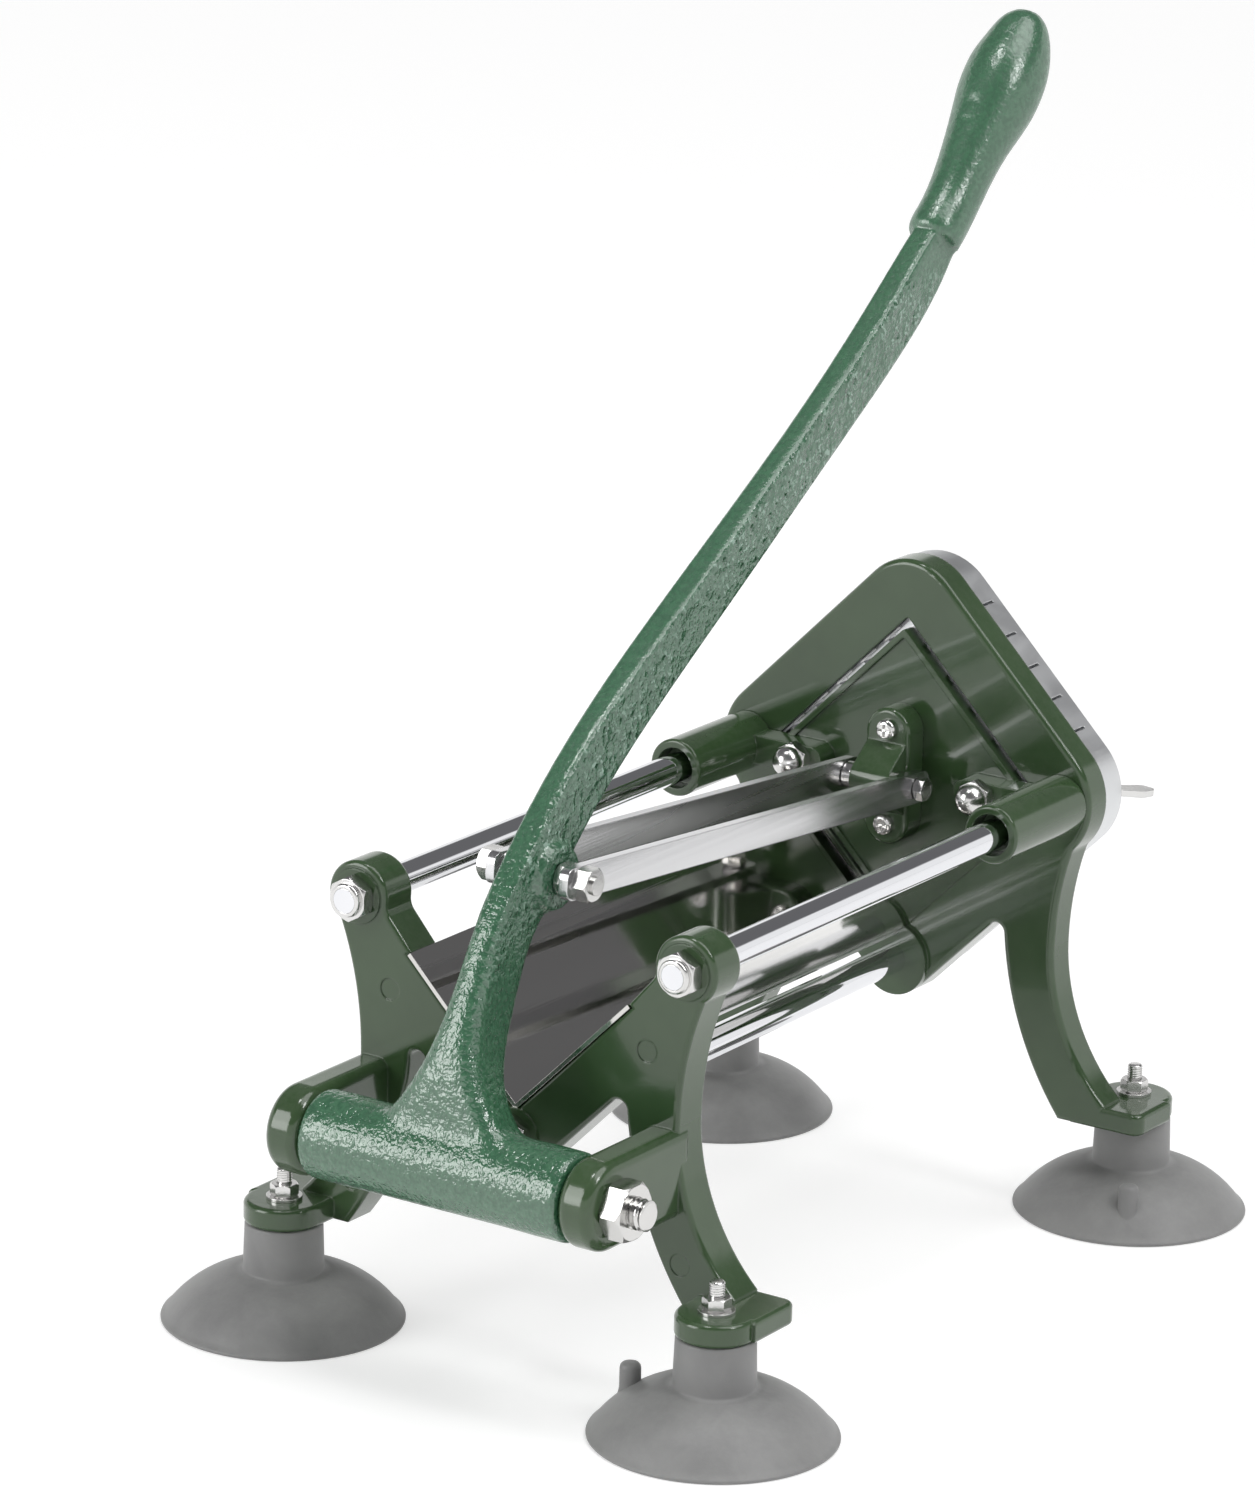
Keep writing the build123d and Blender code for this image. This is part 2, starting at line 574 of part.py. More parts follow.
def lock_nut():
    """Lock nut with a low crown, standing on Z = 0."""
    hexagon_height = LOCK_NUT_HEIGHT - LOCK_NUT_CROWN
    nut = hex_nut(LOCK_NUT_FLATS, hexagon_height, 0)
    crown = bar_z(LOCK_NUT_CROWN_RADIUS, hexagon_height, LOCK_NUT_HEIGHT)
    crown = fillet(crown.faces().sort_by(Axis.Z)[-1].edges(), LOCK_NUT_CROWN_ROUND)
    return nut + crown - through_hole(ROD_THREAD_RADIUS + RUNNING_CLEARANCE, LOCK_NUT_HEIGHT)


def rod_lock_nuts():
    turned = Rot(0, -90, 0) * lock_nut()
    return compound([Pos(LOCK_NUT_SEAT_X, y, z) * turned for y, z in rod_places()])


# ---------------------------------------------------------------- handle pivot
def pivot_bolt():
    """Cross bolt: socket head sunk in the left arm, thread and nut on the right."""
    shank_end = PIVOT_ARM_OUTER_Y + PIVOT_NUT_HEIGHT + PIVOT_BOLT_END
    bolt = bar_y(PIVOT_BOLT_RADIUS, -shank_end, PIVOT_ARM_OUTER_Y, PIVOT_X, PIVOT_Z)
    bolt += bar_y(PIVOT_HEAD_RADIUS, PIVOT_ARM_OUTER_Y - PIVOT_HEAD_HEIGHT, PIVOT_ARM_OUTER_Y,
                  PIVOT_X, PIVOT_Z)
    socket = Pos(PIVOT_X, PIVOT_Z) * RegularPolygon(PIVOT_SOCKET_FLATS / sqrt(3.0), 6)
    return bolt - slab_y(socket, PIVOT_ARM_OUTER_Y - PIVOT_SOCKET_DEPTH,
                         PIVOT_ARM_OUTER_Y + OVERCUT)


def pivot_nut():
    nut = Rot(90, 0, 0) * hex_nut(PIVOT_NUT_FLATS, PIVOT_NUT_HEIGHT, PIVOT_BOLT_RADIUS)
    return Pos(PIVOT_X, -PIVOT_ARM_OUTER_Y, PIVOT_Z) * nut


# ---------------------------------------------------------------- handle
def station_plane(stations, index):
    """Section plane at a station, square to the line through its neighbours."""
    before = stations[max(index - 1, 0)]
    after = stations[min(index + 1, len(stations) - 1)]
    run_x = after[0] - before[0]
    run_z = after[1] - before[1]
    origin = (stations[index][0], 0, stations[index][1])
    return Plane(origin=origin, x_dir=(run_z, 0, -run_x), z_dir=(run_x, 0, run_z))


def handle_arm():
    sections = []
    for index, (_, _, depth, width, corner) in enumerate(ARM_STATIONS):
        plane = station_plane(ARM_STATIONS, index)
        sections.append(plane * RectangleRounded(depth, width, corner))
    return loft(sections)


def handle_grip():
    sections = []
    for index, (_, _, diameter) in enumerate(GRIP_STATIONS):
        sections.append(station_plane(GRIP_STATIONS, index) * Circle(diameter / 2.0))
    return loft(sections)


def handle_boss():
    """Tapered cheeks on both sides of the arm round the link pin."""
    half_height = HANDLE_BOSS_HALF - ARM_WIDTH / 2.0
    cheek = Cone(HANDLE_BOSS_ROOT_RADIUS, HANDLE_BOSS_RADIUS, half_height, align=UPWARD)
    core = bar_y(HANDLE_BOSS_ROOT_RADIUS, -ARM_WIDTH / 2.0, ARM_WIDTH / 2.0,
                 HANDLE_PIN_X, HANDLE_PIN_Z)
    left = Pos(HANDLE_PIN_X, ARM_WIDTH / 2.0, HANDLE_PIN_Z) * Rot(-90, 0, 0) * cheek
    return core + left + mirror(left, Plane.XZ)


def handle():
    """Cast handle: hub, flared arm, link pin boss and round grip in one piece."""
    hub = bar_y(HUB_RADIUS, -HUB_HALF_LENGTH, HUB_HALF_LENGTH, PIVOT_X, PIVOT_Z)
    hub = fillet(hub.edges().filter_by(GeomType.CIRCLE), CASTING_EDGE_RADIUS)
    body = hub + handle_arm() + handle_boss() + handle_grip()
    past_hub = HUB_HALF_LENGTH + OVERCUT
    body -= bar_y(PIVOT_BOLT_RADIUS + RUNNING_CLEARANCE, -past_hub, past_hub, PIVOT_X, PIVOT_Z)
    past_boss = HANDLE_BOSS_HALF + OVERCUT
    return body - bar_y(HANDLE_STUD_RADIUS, -past_boss, past_boss, HANDLE_PIN_X, HANDLE_PIN_Z)


def handle_stud():
    """Middle of the link stud, screwed through the arm."""
    return bar_y(HANDLE_STUD_RADIUS, -HANDLE_BOSS_HALF, HANDLE_BOSS_HALF,
                 HANDLE_PIN_X, HANDLE_PIN_Z)


# ---------------------------------------------------------------- links
def on_both_sides(piece):
    return compound([piece, mirror(piece, Plane.XZ)])


def link_bar(side):
    """Flat bar from the handle stud to the pusher pin."""
    run_x = PUSHER_PIN_X - HANDLE_PIN_X
    run_z = PUSHER_PIN_Z - HANDLE_PIN_Z
    length = sqrt(run_x ** 2 + run_z ** 2)
    blank = RectangleRounded(length + 2 * LINK_END_REACH, LINK_HEIGHT, LINK_CORNER_RADIUS)
    tilt = degrees(atan2(run_z, run_x))
    outline = Pos((HANDLE_PIN_X + PUSHER_PIN_X) / 2.0, (HANDLE_PIN_Z + PUSHER_PIN_Z) / 2.0) \
        * Rot(0, 0, tilt) * blank
    bar = slab_y(outline, LINK_INNER_Y, LINK_OUTER_Y)
    past_bar = LINK_OUTER_Y + OVERCUT
    bar -= bar_y(HANDLE_STUD_RADIUS, 0, past_bar, HANDLE_PIN_X, HANDLE_PIN_Z)
    bar -= bar_y(PUSHER_PIN_RADIUS + RUNNING_CLEARANCE, 0, past_bar, PUSHER_PIN_X, PUSHER_PIN_Z)
    return bar if SIDES[side] > 0 else mirror(bar, Plane.XZ)


def link_studs():
    """Outer ends of the link stud, which carry the bars."""
    end = LINK_OUTER_Y + HANDLE_NUT_HEIGHT + HANDLE_STUD_END
    return on_both_sides(bar_y(HANDLE_STUD_RADIUS, JAM_NUT_INNER_Y, end,
                               HANDLE_PIN_X, HANDLE_PIN_Z))


def link_jam_nuts():
    height = LINK_INNER_Y - JAM_NUT_INNER_Y
    nut = Rot(-90, 0, 0) * hex_nut(HANDLE_NUT_FLATS, height, HANDLE_STUD_RADIUS)
    return on_both_sides(Pos(HANDLE_PIN_X, JAM_NUT_INNER_Y, HANDLE_PIN_Z) * nut)


def link_end_nuts():
    nut = Rot(-90, 0, 0) * hex_nut(HANDLE_NUT_FLATS, HANDLE_NUT_HEIGHT, HANDLE_STUD_RADIUS)
    return on_both_sides(Pos(HANDLE_PIN_X, LINK_OUTER_Y, HANDLE_PIN_Z) * nut)


def pusher_pin():
    end = LINK_OUTER_Y + SIDE_CLEARANCE + PUSHER_PIN_NUT_HEIGHT
    return bar_y(PUSHER_PIN_RADIUS, -end, end, PUSHER_PIN_X, PUSHER_PIN_Z)


def pusher_pin_spacers():
    """Spacer tubes between the bracket lug and the bars."""
    outer_y = LINK_INNER_Y - SIDE_CLEARANCE
    tube = bar_y(PUSHER_SPACER_RADIUS, LUG_HALF_WIDTH, outer_y, PUSHER_PIN_X, PUSHER_PIN_Z)
    tube -= bar_y(PUSHER_PIN_RADIUS, 0, LINK_INNER_Y, PUSHER_PIN_X, PUSHER_PIN_Z)
    return on_both_sides(tube)


def pusher_pin_nuts():
    nut = Rot(-90, 0, 0) * hex_nut(PUSHER_PIN_NUT_FLATS, PUSHER_PIN_NUT_HEIGHT,
                                   PUSHER_PIN_RADIUS)
    return on_both_sides(Pos(PUSHER_PIN_X, LINK_OUTER_Y + SIDE_CLEARANCE, PUSHER_PIN_Z) * nut)


# ---------------------------------------------------------------- pusher
def pusher_carriage():
    """Cast diamond plate with straps to the two guide sleeves."""
    corner = OPENING_CORNER
    face = diamond(PUSHER_HALF, corner, corner, corner)
    inner = diamond(PUSHER_HALF - PUSHER_RIM_WIDTH, corner, corner, corner)
    body = slab_x(face, PUSHER_RIM_BACK, PUSHER_FRONT - PUSHER_RIM_BACK)
    body -= slab_x(inner, PUSHER_RIM_BACK - OVERCUT,
                   PUSHER_WEB_BACK - PUSHER_RIM_BACK + OVERCUT)
    sleeve_front = FRONT_PLATE_BACK - SIDE_CLEARANCE
    for side in SIDES.values():
        strap = Pos(side * (STRAP_INNER_Y + ROD_SIDE_Y) / 2.0, ROD_SIDE_Z) * RectangleRounded(
            ROD_SIDE_Y - STRAP_INNER_Y + 2 * STRAP_HALF_HEIGHT, 2 * STRAP_HALF_HEIGHT,
            STRAP_CORNER_RADIUS)
        body += slab_x(strap, STRAP_BACK, sleeve_front - STRAP_BACK)
        sleeve = bar_x(SLEEVE_RADIUS, SLEEVE_BACK, sleeve_front, side * ROD_SIDE_Y, ROD_SIDE_Z)
        mouth_edge = sleeve.edges().filter_by(GeomType.CIRCLE).sort_by(Axis.X)[0]
        body += fillet(mouth_edge, SLEEVE_EDGE_RADIUS)
        body -= bar_x(SLEEVE_MOUTH_RADIUS, SLEEVE_BACK - OVERCUT, SLEEVE_BACK + SLEEVE_MOUTH_DEPTH,
                      side * ROD_SIDE_Y, ROD_SIDE_Z)
        body -= bar_x(ROD_RADIUS + RUNNING_CLEARANCE, SLEEVE_BACK, FRONT_PLATE_BACK,
                      side * ROD_SIDE_Y, ROD_SIDE_Z)
        body -= bar_x(BLOCK_STUD_RADIUS, STRAP_BACK - OVERCUT, PUSHER_FRONT + OVERCUT,
                      side * BLOCK_STUD_Y, ROD_SIDE_Z)
    for z in bracket_screw_heights():
        body -= bar_x(BRACKET_SCREW_RADIUS, PUSHER_RIM_BACK, PUSHER_FRONT + OVERCUT, 0, z)
    return body


def bracket_screw_heights():
    return [PUSHER_PIN_Z + end * BRACKET_SCREW_SPACING / 2.0 for end in (1.0, -1.0)]


def pusher_bracket():
    """Obround foot screwed to the plate, with a nosed lug for the link pin."""
    foot = SlotOverall(BRACKET_HEIGHT, BRACKET_WIDTH)
    foot = slab_x(Pos(0, PUSHER_PIN_Z) * Rot(0, 0, 90) * foot, BRACKET_BACK,
                  PUSHER_WEB_BACK - BRACKET_BACK)
    foot = fillet(foot.faces().sort_by(Axis.X)[0].edges(), CASTING_EDGE_RADIUS)
    nose = Pos(PUSHER_PIN_X, PUSHER_PIN_Z) * Circle(LUG_NOSE_RADIUS)
    root = Pos(BRACKET_BACK, PUSHER_PIN_Z) * Rectangle(
        LUG_ROOT_DEPTH, LUG_ROOT_HEIGHT, align=(Align.MIN, Align.CENTER))
    lug = slab_y(make_hull([*nose.edges(), *root.edges()]), -LUG_HALF_WIDTH, LUG_HALF_WIDTH)
    bracket = foot + lug
    past_lug = LUG_HALF_WIDTH + OVERCUT
    bracket -= bar_y(PUSHER_PIN_RADIUS, -past_lug, past_lug, PUSHER_PIN_X, PUSHER_PIN_Z)
    for z in bracket_screw_heights():
        bracket -= bar_x(BRACKET_SCREW_RADIUS, BRACKET_BACK - OVERCUT, PUSHER_FRONT, 0, z)
    return bracket


def bracket_screw(z):
    """Cross-recessed pan head screw."""
    head_back = BRACKET_BACK - BRACKET_SCREW_HEAD_HEIGHT
    head = bar_x(BRACKET_SCREW_HEAD_RADIUS, head_back, BRACKET_BACK, 0, z)
    head = fillet(head.edges().filter_by(GeomType.CIRCLE).sort_by(Axis.X)[0],
                  BRACKET_SCREW_HEAD_ROUND)
    screw = head + bar_x(BRACKET_SCREW_RADIUS, BRACKET_BACK, PUSHER_FRONT, 0, z)
    recess = Box(2 * RECESS_DEPTH, RECESS_SPAN, RECESS_WIDTH)
    recess += Box(2 * RECESS_DEPTH, RECESS_WIDTH, RECESS_SPAN)
    return screw - Pos(head_back, 0, z) * recess


def bracket_screws():
    return compound([bracket_screw(z) for z in bracket_screw_heights()])


def push_block():
    """Block with one square finger for every cell of the blade grid."""
    corner = OPENING_CORNER
    block = slab_x(diamond(BLOCK_HALF, corner, corner, corner), PUSHER_FRONT,
                   BLOCK_BASE_THICKNESS)
    cells = BLADE_COUNT + 1
    tilt = Pos(0, PLATE_CENTRE_Z) * Rot(0, 0, 45)
    for cell in GridLocations(BLADE_PITCH, BLADE_PITCH, cells, cells):
        finger = tilt * cell * Rectangle(FINGER_SIDE, FINGER_SIDE)
        block += slab_x(finger, PUSHER_FRONT, BLOCK_BASE_THICKNESS + FINGER_LENGTH)
    for side in SIDES.values():
        block -= bar_x(BLOCK_STUD_RADIUS, PUSHER_FRONT - OVERCUT, BLOCK_BASE_FRONT,
                       side * BLOCK_STUD_Y, ROD_SIDE_Z)
    return block


def push_block_studs():
    end = STRAP_BACK - ACORN_CENTRE_HEIGHT
    return compound([bar_x(BLOCK_STUD_RADIUS, end, BLOCK_BASE_FRONT, side * BLOCK_STUD_Y,
                           ROD_SIDE_Z) for side in SIDES.values()])


def acorn_nut():
    """Domed cap nut standing on Z = 0, with a blind hole."""
    nut = hex_nut(ACORN_FLATS, ACORN_HEX_HEIGHT, 0)
    nut += bar_z(ACORN_DOME_RADIUS, 0, ACORN_CENTRE_HEIGHT)
    dome = Sphere(ACORN_DOME_RADIUS) & bar_z(ACORN_DOME_RADIUS, 0, ACORN_DOME_RADIUS)
    nut += Pos(0, 0, ACORN_CENTRE_HEIGHT) * dome
    return nut - bar_z(BLOCK_STUD_RADIUS, -OVERCUT, ACORN_CENTRE_HEIGHT)


def acorn_nuts():
    turned = Rot(0, -90, 0) * acorn_nut()
    return compound([Pos(STRAP_BACK, side * BLOCK_STUD_Y, ROD_SIDE_Z) * turned
                     for side in SIDES.values()])


# ---------------------------------------------------------------- blade frame
def blade_offsets():
    first = -(BLADE_COUNT - 1) / 2.0
    return [(first + index) * BLADE_PITCH for index in range(BLADE_COUNT)]


def blade_strip(offset, half_length, thickness):
    """One upright strip across the grid, at its offset from the middle."""
    strip = Box(BLADE_DEPTH, thickness, 2 * half_length)
    return Pos(FRONT_PLATE_FRONT + BLADE_DEPTH / 2.0, offset, 0) * strip


def grid_place(turn):
    """Turn a piece of the blade grid from upright to its diagonal place."""
    return Pos(0, 0, PLATE_CENTRE_Z) * Rot(turn, 0, 0)


def blade_set(turn, notched_at_back):
    """Parallel blades, notched half way for the crossing set."""
    half_depth = BLADE_DEPTH / 2.0
    notch_back = FRONT_PLATE_FRONT if notched_at_back else FRONT_PLATE_FRONT + half_depth
    notch_span = 2 * BLADE_FRAME_HALF
    notch = Pos(notch_back + half_depth / 2.0, 0, 0) * Box(half_depth, notch_span, SLOT_WIDTH)
    blades = []
    for offset in blade_offsets():
        strip = blade_strip(offset, BLADE_FRAME_HALF - BLADE_END_RECESS, BLADE_THICKNESS)
        for height in blade_offsets():
            strip -= Pos(0, 0, height) * notch
        blades.append(grid_place(turn) * strip)
    return compound(blades)


def blade_frame():
    """Square frame with slots that hold both blade sets."""
    corner = BLADE_FRAME_CORNER
    outline = diamond(BLADE_FRAME_HALF, corner, corner, corner) - diamond(GRID_HALF)
    frame = slab_x(outline, FRONT_PLATE_FRONT, BLADE_FRAME_THICKNESS)
    for turn in GRID_TURNS:
        for offset in blade_offsets():
            frame -= grid_place(turn) * blade_strip(offset, 2 * BLADE_FRAME_HALF, SLOT_WIDTH)
    for side in SIDES.values():
        frame -= rod_thread_hole(FRONT_PLATE_FRONT - OVERCUT, BLADE_FRAME_FRONT + OVERCUT,
                                 side * ROD_SIDE_Y, ROD_SIDE_Z, HOLE_CLEARANCE)
    return frame


# ---------------------------------------------------------------- wing nuts
def wing_nut(side):
    """Wing nut on the threaded end of a side rod."""
    seat = BLADE_FRAME_FRONT + WING_NUT_GAP
    hub = Cone(WING_HUB_BASE_RADIUS, WING_HUB_TOP_RADIUS, WING_HUB_HEIGHT, align=UPWARD)
    half_span = WING_SPAN / 2.0
    saddle_height = WING_HUB_HEIGHT - WING_SADDLE_DROP
    wing = Polyline((0, WING_ROOT_HEIGHT), (WING_HUB_BASE_RADIUS, WING_ROOT_HEIGHT),
                    (half_span - WING_TAPER, WING_HEIGHT - WING_NECK_DROP),
                    (half_span, WING_HEIGHT), (half_span - WING_TIP_WIDTH, WING_HEIGHT),
                    (WING_HUB_TOP_RADIUS, saddle_height), (0, saddle_height), close=True)
    plan = make_face(wing.edges())
    tips = plan.vertices().sort_by(Axis.X)[-3:]
    plan = fillet(tips, WING_TIP_RADIUS)
    plan += mirror(plan, Plane.YZ)
    wings = extrude(Plane.XZ * plan, WING_THICKNESS / 2.0, both=True)
    nut = hub + wings - through_hole(ROD_THREAD_RADIUS + RUNNING_CLEARANCE, WING_HEIGHT)
    turned = Rot(0, 90, 0) * Rot(0, 0, 90 + WING_ANGLE * SIDES[side]) * nut
    return Pos(seat, SIDES[side] * ROD_SIDE_Y, ROD_SIDE_Z) * turned


# ---------------------------------------------------------------- assembly
def pieces():
    """Every node of the assembly by name."""
    nodes = {
        "rear_frame": rear_frame(),
        "front_frame": front_frame(),
        "trough": trough(),
        "blade_frame": blade_frame(),
        "blades_rising": blade_set(GRID_TURNS[0], True),
        "blades_falling": blade_set(GRID_TURNS[1], False),
        "rod_bottom": bottom_rod(),
        "rod_lock_nuts": rod_lock_nuts(),
        "pivot_bolt": pivot_bolt(),
        "pivot_nut": pivot_nut(),
        "foot_studs": at_feet(foot_stud()),
        "foot_washers": at_feet(foot_washer()),
        "foot_nuts": at_feet(foot_nut()),
        "handle": handle(),
        "handle_stud": handle_stud(),
        "link_studs": link_studs(),
        "link_jam_nuts": link_jam_nuts(),
        "link_end_nuts": link_end_nuts(),
        "pusher_carriage": pusher_carriage(),
        "pusher_bracket": pusher_bracket(),
        "bracket_screws": bracket_screws(),
        "pusher_pin": pusher_pin(),
        "pusher_pin_spacers": pusher_pin_spacers(),
        "pusher_pin_nuts": pusher_pin_nuts(),
        "push_block": push_block(),
        "push_block_studs": push_block_studs(),
        "acorn_nuts": acorn_nuts(),
    }
    for side in SIDES:
        nodes["rod_" + side] = side_rod(side)
        nodes["link_bar_" + side] = link_bar(side)
        nodes["wing_nut_" + side] = wing_nut(side)
        for end in ENDS:
            nodes["suction_cup_" + end + "_" + side] = suction_cup(end, side)
    return nodes


def main():
    """Write every piece with the origin on the counter, under mid length to a millimetre."""
    os.makedirs("parts", exist_ok=True)
    nodes = pieces()
    ends = [edge for shape in nodes.values()
            for edge in (shape.bounding_box().min.X, shape.bounding_box().max.X)]
    middle_x = round((min(ends) + max(ends)) / 2.0)
    for name, shape in nodes.items():
        export_step(Pos(-middle_x, 0, -COUNTER_Z) * shape, "parts/" + name + ".step")


main()
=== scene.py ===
"""French fry cutter: finishes, cast handle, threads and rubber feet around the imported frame."""

import logging
import math
from dataclasses import dataclass
from enum import Enum
from typing import Iterable, Sequence

import bpy
from mathutils import Matrix, Vector


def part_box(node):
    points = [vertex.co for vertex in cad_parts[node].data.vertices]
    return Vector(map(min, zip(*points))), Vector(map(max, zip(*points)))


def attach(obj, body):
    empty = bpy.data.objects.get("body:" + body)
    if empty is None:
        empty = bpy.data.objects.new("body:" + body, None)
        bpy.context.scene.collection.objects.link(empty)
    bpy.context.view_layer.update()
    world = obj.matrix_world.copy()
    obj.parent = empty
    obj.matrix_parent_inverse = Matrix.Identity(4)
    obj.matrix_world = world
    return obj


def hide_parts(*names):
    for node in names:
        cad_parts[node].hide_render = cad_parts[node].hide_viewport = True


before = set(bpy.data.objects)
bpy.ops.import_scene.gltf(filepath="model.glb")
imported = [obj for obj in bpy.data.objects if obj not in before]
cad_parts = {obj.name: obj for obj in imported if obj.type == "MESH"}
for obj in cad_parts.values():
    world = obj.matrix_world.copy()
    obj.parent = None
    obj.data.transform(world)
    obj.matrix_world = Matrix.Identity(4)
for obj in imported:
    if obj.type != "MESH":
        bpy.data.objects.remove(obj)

log = logging.getLogger("fry_cutter")

MM = 0.001
Stations = Sequence[tuple[float, float]]
Colour = tuple[float, float, float]


class Body(Enum):
    """The bodies that the scene's own pieces ride on."""

    BASE = "base"
    HANDLE = "handle"


class Slot(Enum):
    """The finish slots of the record."""

    ENAMEL = "frame_enamel"
    HAMMERTONE = "handle_hammertone"
    CHROME = "polished_chrome"
    ZINC = "bright_zinc"
    STAINLESS = "polished_stainless"
    BLADE = "blade_steel"
    ALUMINIUM = "cast_aluminium"
    RUBBER = "grey_rubber"


class Along(Enum):
    """The direction that a drawn grain runs in."""

    X = (1.0, 0.0, 0.0)
    Y = (0.0, 1.0, 0.0)


# ------------------------------------------------------------------ shader nodes
class Graph:
    """Short calls for laying out shader nodes in a tree."""

    def __init__(self, tree: bpy.types.NodeTree) -> None:
        """Keeps the tree.

        Args:
            tree: the node tree to fill.
        """
        self.tree = tree

    def add(self, kind: str, inputs: dict | None = None, **settings) -> bpy.types.Node:
        """Adds a node.

        Args:
            kind: the node's type name.
            inputs: socket name or number to a value or to an output socket.
            settings: the node's own settings.

        Returns:
            The new node.
        """
        node = self.tree.nodes.new(kind)
        for name, value in settings.items():
            setattr(node, name, value)
        for key, value in (inputs or {}).items():
            self.feed(node.inputs[key], value)
        return node

    def feed(self, socket: bpy.types.NodeSocket, value) -> None:
        """Links or sets one input.

        Args:
            socket: the input.
            value: an output socket, a number or a colour.
        """
        if isinstance(value, bpy.types.NodeSocket):
            self.tree.links.new(value, socket)
        else:
            socket.default_value = value

    def math(self, operation: str, *values) -> bpy.types.NodeSocket:
        """Returns the output of a Math node over one to three values."""
        return self.add("ShaderNodeMath", dict(enumerate(values)), operation=operation).outputs[0]

    def shown_rays(self) -> bpy.types.NodeSocket:
        """Returns 1 for the rays that show a surface: camera, glossy and transmission rays."""
        rays = self.add("ShaderNodeLightPath").outputs
        return self.math("MAXIMUM", rays["Is Camera Ray"],
                         self.math("MAXIMUM", rays["Is Glossy Ray"],
                                   rays["Is Transmission Ray"]))

    def ramp(self, value, low: float, high: float, start: float = 0.0,
             end: float = 1.0, smooth: bool = False) -> bpy.types.NodeSocket:
        """Maps a value from one range to another.

        Args:
            value: the input socket.
            low: where the input range starts.
            high: where the input range ends.
            start: the output at low.
            end: the output at high.
            smooth: whether the step eases in and out.

        Returns:
            The clamped output.
        """
        return self.add(
            "ShaderNodeMapRange",
            {"Value": value, "From Min": low, "From Max": high, "To Min": start, "To Max": end},
            interpolation_type="SMOOTHSTEP" if smooth else "LINEAR",
        ).outputs[0]

    def blend(self, factor, first, second) -> bpy.types.NodeSocket:
        """Mixes two colours.

        Args:
            factor: the share of the second colour.
            first: a colour socket or value.
            second: a colour socket or value.

        Returns:
            The mixed colour.
        """
        node = self.add("ShaderNodeMix", data_type="RGBA")
        self.feed(node.inputs[0], factor)
        self.feed(node.inputs[6], self.four(first))
        self.feed(node.inputs[7], self.four(second))
        return node.outputs[2]

    @staticmethod
    def four(colour):
        """Returns a three-part colour with its alpha, or the socket as it is."""
        return colour if isinstance(colour, bpy.types.NodeSocket) else (*colour, 1.0)

    def noise(self, vector, scale, detail: float = 2.0, rough: float = 0.5,
              distortion: float = 0.0) -> bpy.types.NodeSocket:
        """Returns the value of a Noise texture."""
        return self.add(
            "ShaderNodeTexNoise",
            {"Vector": vector, "Scale": scale, "Detail": detail, "Roughness": rough,
             "Distortion": distortion},
        ).outputs[0]


